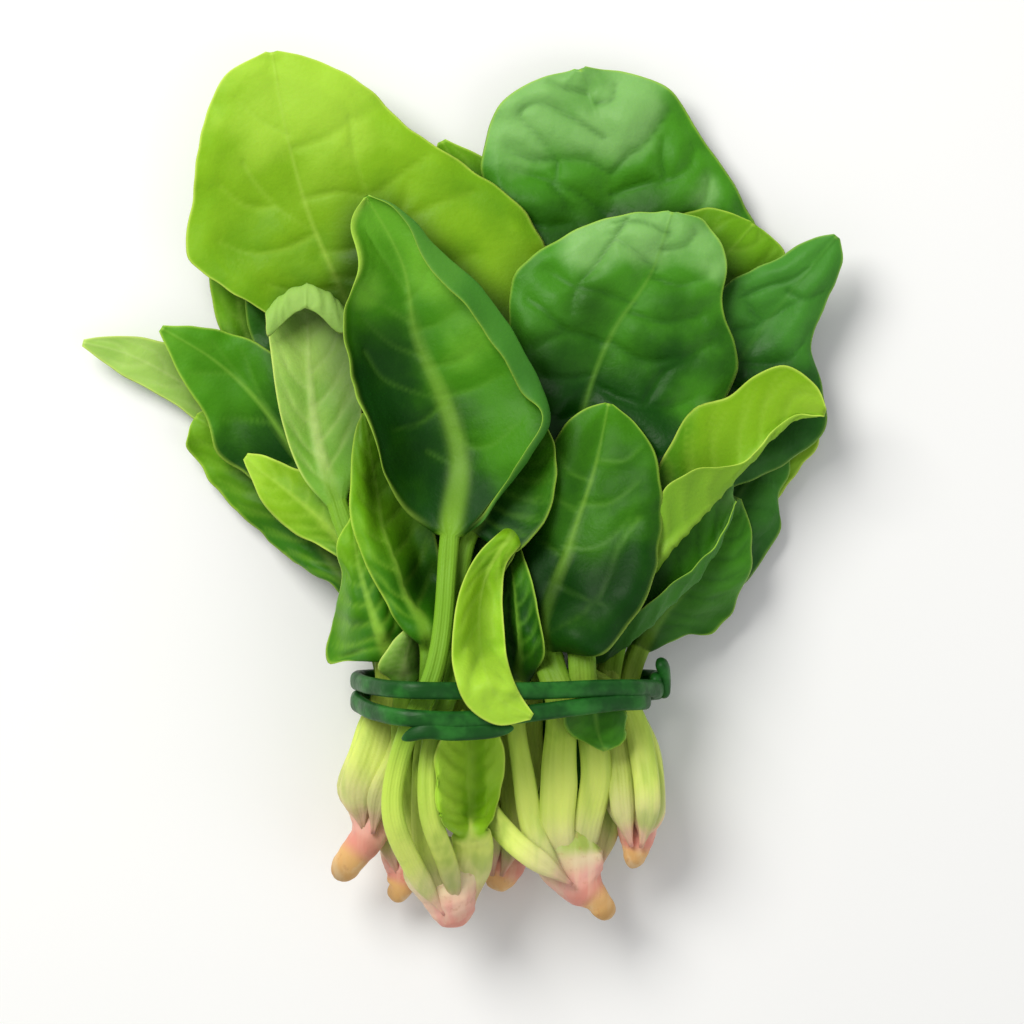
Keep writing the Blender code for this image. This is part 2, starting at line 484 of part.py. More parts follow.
         right=[[(3, -8, 1), (9, -1, 3), (17, 8, 5), (23, 19, 6), (21, 28, 6), (16, 39, 6), (9, 51, 5),
                 (-4, 64, 4), (-19, 78, 2)],
                [(3, -7, 2), (8, 0, 5), (14.5, 9, 8), (20, 18, 9), (14, 28, 9), (9, 37, 9), (1, 49, 8),
                 (-9, 60, 7), (-18, 76, 3)]],
         cup=(-1.5, 1), edge=(0.5, 0), ruffle=(3, 0.6)),
    dict(name="crumpled_base_leaf", green=LIME, radius=(2.18, 2.21), stiff=3,
         stalk=[(3.5, -105, 27), (4, -99, 30)],
         mid=[(3.5, -96, 31), (3, -86, 20), (3, -74, 22), (3.5, -62, 22)],
         left=[(-3, -90), (-5, -80), (-4, -70)], right=[(8, -90), (10.5, -80), (10, -69)],
         cup=(1, 1), edge=(-1, -1), ruffle=(2, 0.5)),
    "crown_left_centre",
    dict(name="torn_dark_leaf", green=DARK, radius=(0.86, 0.85), stiff=3, rings=8,
         stalk=[(36.5, -47, 30), (37, -53, 30)],
         mid=[(37.5, -56, 30), (38, -63, 22), (39, -68, 22), (41, -73, 22)],
         left=[(44, -59), (46.3, -67.5), (44, -72)], right=[(30.5, -60), (32, -68.5), (37, -71)],
         cup=(0.3, 0.3), edge=(0, 0), ruffle=(2, 0.2)),
    "tie",
    dict(name="tongue_leaf", green=LIME, radius=(1.25, 1.02), stiff=4, rings=13,
         stalk=[(21, -7.5, 30), (20, -8.5, 30)],
         mid=[(18.5, -9.5, 30), (13, -15, 24), (7.5, -24, 22), (5.5, -36, 22), (6.5, -47, 22),
              (11, -57, 22), (20.5, -62.5, 22)],
         left=[(16.5, -13.5), (12, -20), (10.8, -29), (11.2, -38), (13, -49), (17, -57.5)],
         right=[(13, -13), (7, -18.5), (2, -28), (0, -38), (0, -50), (4, -59.5), (11, -63.8)],
         cup=(0.6, 0.6), edge=(0.3, 0.3), ruffle=(1, 0.1)),
]

CROWNS = {                 # centre line from root tip to collar: x, y, z, half width, half height
    "crown_back_left": [(-20.5, -115, 6, 2.4, 2.4), (-18, -114, 8, 3.6, 3.6), (-16, -110, 10, 5, 5.5),
                        (-16, -104, 12, 6.5, 7.5)],
    "crown_back_centre": [(8, -113, 6, 2, 2.5), (11, -110, 9, 5.5, 5.5), (13, -101, 12, 7, 8)],
    "crown_right": [(48.5, -107, 16, 2, 2), (50, -101, 18, 4.3, 4.5), (50, -95, 20, 6, 8)],
    "crown_left": [(-35, -110, 17, 3.6, 3.6), (-29.5, -103, 20, 4.6, 4.6), (-25.5, -97, 23, 5.2, 5.2),
                   (-24.5, -92, 24, 6.4, 7), (-25, -87, 25, 6.6, 7.5)],
    "crown_right_centre": [(42.5, -121, 20, 3.2, 3.2), (39, -115.5, 23, 3.9, 3.9), (34.5, -111, 26, 7, 6),
                           (31.5, -104, 29, 10, 8)],
    "crown_left_centre": [(1, -122.5, 22, 2.8, 2.8), (-0.5, -119.5, 24, 5.8, 5), (-2.5, -114, 27, 8.3, 7),
                          (-4.5, -107, 29, 11, 8)],
}
CROWN_COLOUR = (0.62, 0.42, 0.30)
TIE_COLOUR = (0.03, 0.14, 0.06)


def crown_rings(stations, rings, around):
    """Rings of a crown from the root tip to the collar that the stalks stand on."""
    t = np.linspace(0, 1, rings)
    line = curve(stations, t)
    ahead = np.gradient(line[:, :3], t, axis=0)
    side = np.stack([ahead[:, 1], -ahead[:, 0], 0 * t], axis=1)
    side /= np.linalg.norm(side, axis=1)[:, None]
    turn = np.linspace(0, 2 * np.pi, around, endpoint=False)
    return (line[:, None, :3] + side[:, None, :] * (line[:, 3:4] * np.cos(turn))[:, :, None]
            + np.array([0, 0, 1.0]) * (line[:, 4:5] * np.sin(turn))[:, :, None])


def crown_body(stations):
    rings = crown_rings(stations, 9, 14)
    verts = rings.reshape(-1, 3)
    return verts, outward(verts, ring_faces(*rings.shape[:2]))


# ---------------------------------------------------------------- the tie

def tube(path, radius, around=8):
    """Solid tube along a path with rounded-off ends."""
    p = np.asarray(path, float)
    ahead = np.gradient(p, axis=0)
    ahead /= np.linalg.norm(ahead, axis=1)[:, None]
    side = np.cross(ahead, [0.0, 1.0, 0.0])
    flat = np.linalg.norm(side, axis=1) < 0.2
    side[flat] = np.cross(ahead[flat], [0.0, 0.0, 1.0])
    side /= np.linalg.norm(side, axis=1)[:, None]
    up = np.cross(side, ahead)
    size = np.full(len(p), radius)
    size[[0, -1]] *= 0.6
    turn = np.linspace(0, 2 * np.pi, around, endpoint=False)
    rings = (p[:, None] + side[:, None] * (size[:, None] * np.cos(turn))[:, :, None]
             + up[:, None] * (size[:, None] * np.sin(turn))[:, :, None])
    verts = rings.reshape(-1, 3)
    return verts, outward(verts, ring_faces(len(p), around))


def hull_radius(points, centre, angle, clearance):
    """Distance from the centre to a convex wrap of the points, in each direction."""
    way = np.linspace(0, 2 * np.pi, 90, endpoint=False)
    normal = np.stack([np.cos(way), np.sin(way)], axis=1)
    reach = (points @ normal.T).max(axis=0) - normal @ centre + clearance
    facing = np.cos(angle[:, None] - way[None, :])
    return np.where(facing > 0.05, reach / np.maximum(facing, 0.05), np.inf).min(axis=1)


def tie_path(bodies):
    """Two turns of cord round the stalks: the second turn sags toward the roots on the left."""
    edges = np.concatenate([verts[faces][:, [[0, 1], [1, 2], [2, 0]]].reshape(-1, 2, 3)
                            for verts, faces in bodies])
    points = np.concatenate([edges[:, 0] * (1 - f) + edges[:, 1] * f for f in np.linspace(0, 0.9, 10)])
    held = (points[:, 1] > -69) & (points[:, 1] < -49.5) & (points[:, 0] > -25.5) & (points[:, 0] < 52.5)
    points = points[held]
    angle = np.linspace(-0.15, 4 * np.pi - 0.25, 78) * -1
    reach = hull_radius(points[:, [0, 2]], BAND_CENTRE, angle, CORD + 1.1)
    turns = -angle / (2 * np.pi)
    x = BAND_CENTRE[0] + reach * np.cos(angle)
    z = BAND_CENTRE[1] + reach * np.sin(angle)
    front = np.clip(np.sin(angle), 0, 1)
    first = -53.5 - 2.0 * front
    second = -59.0 - 4.8 * np.clip((45 - x) / 45, 0, 1) * front
    y = first + (second - first) * smooth((turns - 0.85) / 0.3)
    return np.stack([x, y, z], axis=1)


def tail_path(line):
    """Loose end of the cord, lying against the roots' side of the second turn's front."""
    front = line[len(line) // 2:]
    front = front[(front[:, 2] > BAND_CENTRE[1]) & (front[:, 0] > -17) & (front[:, 0] < 19)]
    close = front + [0, -2 * CORD - 0.15, 0]
    first = close[0] if close[0, 0] < close[-1, 0] else close[-1]
    tip = first + [-5.5, -2.2, -1.5]
    return np.concatenate([[tip], close]) if close[0, 0] < close[-1, 0] else np.concatenate([close, [tip]])


def knot_path(line):
    """Short bent end of the cord beside the outermost point on the right."""
    right = line[line[:, 0].argmax()]
    x = right[0] + 2 * CORD + 0.15
    y, z = right[1], right[2] + 2
    return np.array([(x - 1.6, y + 7.5, z + 3), (x - 0.2, y + 5, z + 2), (x + 0.3, y + 2, z),
                     (x + 0.3, y - 1, z - 1), (x, y - 3.6, z - 2)])


# ---------------------------------------------------------------- build

def build():
    heap = Heap()
    for piece in LEAVES:
        if piece == "tie":
            heap.lay_tie()
        elif isinstance(piece, str):
            heap.lay_crown(piece, CROWNS[piece])
        else:
            heap.lay(piece)
    return heap.bodies


def add_object(name, verts, faces, colour):
    mesh = bpy.data.meshes.new(name)
    mesh.from_pydata(verts.tolist(), [], faces.tolist())
    mesh.update()
    material = bpy.data.materials.new(name + "_colour")
    material.use_nodes = True
    shader = material.node_tree.nodes["Principled BSDF"]
    shader.inputs["Base Color"].default_value = (*colour, 1)
    shader.inputs["Roughness"].default_value = 0.5
    mesh.materials.append(material)
    thing = bpy.data.objects.new(name, mesh)
    bpy.context.scene.collection.objects.link(thing)


for old in list(bpy.data.objects):
    bpy.data.objects.remove(old, do_unlink=True)

greens = {leaf["name"]: leaf["green"] for leaf in LEAVES if isinstance(leaf, dict)}
pieces = build()
everything = np.concatenate([verts for verts, _ in pieces.values()])
low, high = everything.min(axis=0), everything.max(axis=0)
shift = np.array([(low[0] + high[0]) / 2, (low[1] + high[1]) / 2, low[2]])
for name, (verts, faces) in pieces.items():
    colour = greens.get(name, TIE_COLOUR if name.startswith("tie") else CROWN_COLOUR)
    add_object(name, (verts - shift) * MM, faces, colour)
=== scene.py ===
"""The looks of a bunch of spinach lying on a pale floor, seen from above.

The leaves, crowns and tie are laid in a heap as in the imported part, at coarse spacing. Each is then
drawn again at fine spacing on its coarse shape: the leaves with midrib, side veins, puckers and
ruffled edges. Lengths are in millimetres up to the meshes, which are in metres. In the frame of the
heap +X is right and +Y is toward the leaf tips.
"""

import bpy
import numpy as np
from mathutils import Euler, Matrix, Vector


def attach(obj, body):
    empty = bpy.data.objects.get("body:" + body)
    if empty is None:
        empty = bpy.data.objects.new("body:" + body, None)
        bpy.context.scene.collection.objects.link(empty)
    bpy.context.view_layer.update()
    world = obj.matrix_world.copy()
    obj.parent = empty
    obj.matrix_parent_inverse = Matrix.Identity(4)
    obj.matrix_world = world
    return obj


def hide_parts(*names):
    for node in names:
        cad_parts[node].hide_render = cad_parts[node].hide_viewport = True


MM = 0.001
HALF_BLADE = 0.65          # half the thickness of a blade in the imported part
GAP = 0.6                  # clearance between its pieces
COLUMNS = 7                # points across a blade at coarse spacing
STALK_RINGS = 9            # rings along a stalk at coarse spacing
BLADE_RINGS = 10           # and along a blade, where the leaf doesn't say
STALK = (1.79, 1.78)       # radius of a plain stalk, and of its foot
STALK_WIDE = 1.6           # width of a stalk over its height
FOLD_BEND = 0.38           # how far the fold of a rolled tip bends back at its sides
CORD = 2.15                # radius of the tie's cord
CORD_GAP = 1.1             # clearance between the cord and the stalks in it
BAND_CENTRE = np.array([14.5, 24.0])        # x and z of the middle of the tied stalks
BUNDLE_HALF = 43.0         # half the width of the hollow they lie in

X0, Y0, NX, NY = -130, -140, 261, 281       # height map of the heap, one cell per millimetre


# ---------------------------------------------------------------- curves

def curve(points, t):
    """Smooth curve through the points at fractions t of its chord length."""
    p = np.array(points, float)
    step = np.linalg.norm(np.diff(p, axis=0), axis=1)
    s = np.concatenate([[0.0], np.cumsum(step)]) / step.sum()
    slope = np.gradient(p, s, axis=0)
    i = np.clip(np.searchsorted(s, t, side="right") - 1, 0, len(s) - 2)
    width = (s[i + 1] - s[i])[:, None]
    f = (t[:, None] - s[i][:, None]) / width
    return ((2 * f**3 - 3 * f**2 + 1) * p[i] + (f**3 - 2 * f**2 + f) * width * slope[i]
            + (3 * f**2 - 2 * f**3) * p[i + 1] + (f**3 - f**2) * width * slope[i + 1])


def through(knots, values, at):
    """Smooth curve through values given at the knots, along the first axis."""
    slope = np.gradient(values, knots, axis=0)
    i = np.clip(np.searchsorted(knots, at, side="right") - 1, 0, len(knots) - 2)
    widened = (slice(None),) + (None,) * (values.ndim - 1)
    w = (knots[i + 1] - knots[i])[widened]
    f = (np.clip(at, knots[0], knots[-1]) - knots[i])[widened] / w
    return ((2 * f**3 - 3 * f**2 + 1) * values[i] + (f**3 - 2 * f**2 + f) * w * slope[i]
            + (3 * f**2 - 2 * f**3) * values[i + 1] + (f**3 - f**2) * w * slope[i + 1])


def smooth(x):
    """Rise from 0 to 1 with a soft start and end."""
    x = np.clip(x, 0.0, 1.0)
    return x * x * (3 - 2 * x)


def with_z(points):
    """The points with a height of 0 where they have none."""
    return [tuple(p) + (0.0,) * (3 - len(p)) for p in points]


# ---------------------------------------------------------------- height maps

def disc(radius):
    """Offsets of the cells within a radius."""
    r = int(np.ceil(radius))
    return [(i, j) for i in range(-r, r + 1) for j in range(-r, r + 1)
            if i * i + j * j <= radius * radius + 0.1]


def dilate(height, radius):
    """Highest value within a radius of each cell."""
    out = height.copy()
    r = int(np.ceil(radius))
    pad = np.pad(height, r, mode="edge")
    for i, j in disc(radius):
        np.maximum(out, pad[r + i:r + i + NY, r + j:r + j + NX], out=out)
    return out


def blur(height, radius):
    """Mean value within a radius of each cell."""
    r = int(np.ceil(radius))
    pad = np.pad(height, r, mode="edge")
    cells = disc(radius)
    return sum(pad[r + i:r + i + NY, r + j:r + j + NX] for i, j in cells) / len(cells)


def envelope(height, radius):
    """A smooth sheet that is never lower than the heap."""
    return blur(dilate(height, radius), radius)


def sample(grid, x, y):
    """Values of a grid at places between its cells."""
    gx = np.clip(x - X0, 0, NX - 1.001)
    gy = np.clip(y - Y0, 0, NY - 1.001)
    i, j = gy.astype(int), gx.astype(int)
    fy, fx = gy - i, gx - j
    return ((grid[i, j] * (1 - fx) + grid[i, j + 1] * fx) * (1 - fy)
            + (grid[i + 1, j] * (1 - fx) + grid[i + 1, j + 1] * fx) * fy)


def cradle():
    """Floor of the heap: flat, but rounded where the stalks are held in a bundle."""
    x, y = np.meshgrid(X0 + np.arange(NX), Y0 + np.arange(NY))
    across = np.abs(x - BAND_CENTRE[0]) / BUNDLE_HALF
    # 4 mm up in the middle and rising to both sides, between the roots and the blades
    round_floor = (4 + 10 * across**2.5) * smooth((1.25 - across) / 0.2)
    held = smooth((y + 118) / 25) * smooth((-4 - y) / 38)
    return round_floor * held


def triangle_heights(corners):
    """Grid cells covered by a triangle and its heights there."""
    (ax, ay, az), (bx, by, bz), (cx, cy, cz) = corners
    j0, j1 = int(np.ceil(min(ax, bx, cx) - X0)), int(np.floor(max(ax, bx, cx) - X0))
    i0, i1 = int(np.ceil(min(ay, by, cy) - Y0)), int(np.floor(max(ay, by, cy) - Y0))
    area = (bx - ax) * (cy - ay) - (cx - ax) * (by - ay)
    if j1 < j0 or i1 < i0 or abs(area) < 1e-9:
        return None
    x, y = np.meshgrid(X0 + np.arange(j0, j1 + 1), Y0 + np.arange(i0, i1 + 1))
    b = ((x - ax) * (cy - ay) - (cx - ax) * (y - ay)) / area
    c = ((bx - ax) * (y - ay) - (x - ax) * (by - ay)) / area
    inside = (b >= -1e-6) & (c >= -1e-6) & (b + c <= 1 + 1e-6)
    return slice(i0, i1 + 1), slice(j0, j1 + 1), inside, az + b * (bz - az) + c * (cz - az)


def highest(verts, faces):
    """Highest surface of a body over every cell it covers."""
    high = np.full((NY, NX), -np.inf)
    for corners in verts[faces]:
        hit = triangle_heights(corners)
        if hit:
            rows, cols, inside, z = hit
            high[rows, cols] = np.maximum(high[rows, cols], np.where(inside, z, -np.inf))
    return high


# ---------------------------------------------------------------- bodies

def ring_faces(rings, around):
    """Triangles of a tube of rings with both ends closed by fans."""
    k = np.arange(around)
    faces = []
    for r in range(rings - 1):
        a, b = r * around + k, r * around + (k + 1) % around
        c, d = a + around, b + around
        faces += list(zip(a, b, d)) + list(zip(a, d, c))
    last = (rings - 1) * around
    faces += [(0, j + 1, j) for j in range(1, around - 1)]
    faces += [(last, last + j, last + j + 1) for j in range(1, around - 1)]
    return np.array(faces)


def outward(verts, faces):
    """The faces, turned so that they face out of the body."""
    a, b, c = (verts[faces[:, k]] for k in range(3))
    volume = np.einsum("ij,ij->i", a, np.cross(b, c)).sum()
    return faces if volume > 0 else faces[:, ::-1]


def opening(leaf):
    """Fraction of a leaf's length at which its stalk opens into the blade."""
    axis = np.array(leaf["stalk"] + with_z(leaf["mid"]), float)
    chord = np.linalg.norm(np.diff(axis, axis=0), axis=1)
    return chord[:len(leaf["stalk"])].sum() / chord.sum()


def coarse_rows(leaf):
    """Places of the coarse rings along a leaf."""
    opens = opening(leaf)
    blade = opens + (1 - opens) * np.linspace(0.02, 0.985, leaf.get("rings", BLADE_RINGS))
    return np.concatenate([np.linspace(0.0, opens * 0.97, STALK_RINGS), blade])


def spread(leaf, t, v):
    """A leaf before it is draped: its points, the axis and the stalk's radius along it."""
    mid, opens = with_z(leaf["mid"]), opening(leaf)
    s = np.clip((t - opens) / (1 - opens), 0, 1)
    centre = curve(leaf["stalk"] + mid, t)
    ahead = np.gradient(centre, t, axis=0)
    side = np.stack([ahead[:, 1], -ahead[:, 0]], axis=1)
    side /= np.linalg.norm(side, axis=1)[:, None]

    guides = [(0.0, centre)]
    for key, sign in (("left", -1), ("right", 1)):
        folds = leaf[key] if isinstance(leaf[key][0], list) else [leaf[key]]
        for n, points in enumerate(folds):
            points = with_z(points)
            start, end = mid[0][:2] + (0.0,), mid[-1][:2] + (points[-1][2],)
            line = curve([start] + points + [end], s)
            line[:, 2] += centre[:, 2]
            line[s == 0] = centre[s == 0]
            guides.append((sign * (1.0 if n == len(folds) - 1 else leaf["fold_at"]), line))
    guides.sort(key=lambda g: g[0])
    lines = np.stack([line for _, line in guides])
    sheet = through(np.array([at for at, _ in guides]), lines, v).transpose(1, 0, 2)

    stalk_r, base_r = leaf.get("radius", STALK)
    radius = np.interp(t, [0, 0.4 * opens, opens, 1], [base_r, stalk_r, stalk_r * 0.95, 0.5])
    sheet[:, :, :2] += side[:, None, :] * (STALK_WIDE * radius[:, None] * v[None, :])[:, :, None]
    if "curl" in leaf:
        line_y, roll, press = leaf["curl"]
        across = (sheet[:, :, 0] - centre[-1, 0]) / roll
        line_y = line_y - FOLD_BEND * roll * np.clip(across, -2, 2)**2
        turned = np.clip(sheet[:, :, 1] - line_y, 0, None) / roll
        sheet[:, :, 1] = np.minimum(sheet[:, :, 1], line_y) + roll * np.sin(turned)
        sheet[:, :, 2] += press * roll * (1 - np.cos(turned))
    return sheet, centre, radius, s


def drape(leaf, t, v, bed):
    """Middle surface of a leaf laid on the bed, and half the thickness at each point."""
    sheet, centre, radius, s = spread(leaf, t, v)
    open_up = np.sin(np.pi * s**0.8)[:, None]
    far = np.abs(v)[None, :]
    half = np.where(v < 0, 0, 1)
    cup = np.array(leaf.get("cup", (0.5, 0.5)), float)[half][None, :]
    edge = np.array(leaf.get("edge", (-0.5, -0.5)), float)[half][None, :]
    waves, height = leaf.get("ruffle", (2.5, 0.3))
    # cupped halves, turned edges and a few waves, with each row's lowest point left on the sheet
    relief = open_up * (cup * 4 * far * (1 - far) + edge * far**2
                        + height * far**2 * np.sin(2 * np.pi * waves * s[:, None] + 2.2 * half))
    relief = relief - relief.min(axis=1, keepdims=True) * smooth(s * 6)[:, None]
    spine = centre[:, 2][:, None]
    under = bed(sheet[:, :, 0], sheet[:, :, 1], smooth(s * 4)[:, None])
    rest = 0.5 * (spine + under + np.sqrt((spine - under) ** 2 + 1.0))     # a soft maximum of the two
    flat = smooth(s * 5)[:, None]
    radius = radius[:, None]
    rounded = np.sqrt(np.clip(1 - v**2, 0, 1))[None, :]
    half_thick = radius * rounded * (1 - flat)
    midrib = np.where(far < 0.1, 0.35 * radius, 0)
    half_thick += (HALF_BLADE * rounded + midrib) * flat
    clear = radius * (1 - flat) + HALF_BLADE * flat
    sheet[:, :, 2] += rest + clear - spine + relief
    return sheet, half_thick


def wrap(sheet, over, under):
    """Points of the closed body whose skin lies over and under a sheet."""
    normal = np.cross(np.gradient(sheet, axis=1), np.gradient(sheet, axis=0))
    normal /= np.linalg.norm(normal, axis=2)[:, :, None] + 1e-9
    top, bottom = sheet + normal * over[:, :, None], sheet - normal * under[:, :, None]
    return np.concatenate([top, bottom[:, -2:0:-1]], axis=1)


class Heap:
    """The pieces laid so far, as one height map."""

    def __init__(self):
        self.top = cradle()
        self.bodies = {}
        self.sheets = {}
        self.ends = []

    def keep(self, name, verts, faces):
        """Add a body to the heap, with some room beside it."""
        self.bodies[name] = (verts, faces)
        self.top = np.maximum(self.top, dilate(highest(verts, faces), 1.0))

    def shortfall(self, verts, face):
        """How far a triangle is too low to clear the heap."""
        hit = triangle_heights(verts[face])
        if not hit:
            return 0.0
        rows, cols, inside, z = hit
        return np.where(inside, self.top[rows, cols] + GAP - z, 0).max(initial=0)

    def lay(self, leaf):
        """Drape a leaf over the heap, then lift the places that would still cut into it."""
        wide = envelope(self.top, leaf.get("stiff", 8))

        def bed(x, y, blade):
            under_stalk = sample(self.top, x[:, 1:-1], y[:, 1:-1]).max(axis=1, keepdims=True)
            return under_stalk * (1 - blade) + sample(wide, x, y) * blade

        v = -np.cos(np.linspace(0, np.pi, COLUMNS))
        sheet, half = drape(leaf, coarse_rows(leaf), v, bed)
        rings = wrap(sheet, half, half)
        around = rings.shape[1]
        verts = rings.reshape(-1, 3)
        faces = outward(verts, ring_faces(len(rings), around))
        need = np.zeros(sheet.shape[:2])
        for face in faces:
            place = face % around
            place = np.where(place < COLUMNS, place, around - place)
            row = face // around
            need[row, place] = np.maximum(need[row, place], self.shortfall(verts, face))
        need[:STALK_RINGS + 1] = need[:STALK_RINGS + 1].max(axis=1, keepdims=True)
        spot = sheet[:, :, :2].reshape(-1, 2)
        apart = np.linalg.norm(spot[:, None] - spot[None, :], axis=2)
        lifted = (need.reshape(1, -1) - leaf.get("give", 1.0) * apart).max(axis=1).clip(0)
        lifted = lifted.reshape(need.shape)
        sheet[:, :, 2] += lifted
        verts[:, 2] += np.concatenate([lifted, lifted[:, -2:0:-1]], axis=1).ravel()
        self.sheets[leaf["name"]] = sheet
        self.keep(leaf["name"], verts, faces)
        self.ends.append(verts[:around].mean(axis=0))

    def lay_tie(self):
        """Wind the cord round what is laid so far."""
        line = tie_path(self.bodies.values())
        for name, path, radius in (("tie_cord", line, CORD), ("tie_tail", tail_path(line), CORD - 0.15),
                                   ("tie_knot", knot_path(line), CORD + 0.15)):
            self.sheets[name] = path
            self.keep(name, *tube(path, radius))

    def lay_crown(self, name, stations):
        """Set a crown at the height of its own stalk ends, or on whatever is under it."""
        x, y, level, reach, _ = stations[-1]
        ends = [e[2] for e in self.ends if abs(e[0] - x) < reach + 2 and -1 < e[1] - y < 6]
        rise = (max(ends) + min(ends)) / 2 - level
        verts, faces = crown_body([(x, y, z + rise, w, h) for x, y, z, w, h in stations])
        lack = max(self.shortfall(verts, face) for face in faces)
        verts[:, 2] += lack
        self.sheets[name] = rise + lack
        self.keep(name, verts, faces)


# ---------------------------------------------------------------- leaves, lowest first

LIME, BRIGHT, MID, DARK, BLUISH, PALE = ((0.22, 0.42, 0.02), (0.14, 0.33, 0.02), (0.08, 0.24, 0.02),
                                         (0.04, 0.17, 0.02), (0.03, 0.13, 0.03), (0.26, 0.48, 0.14))

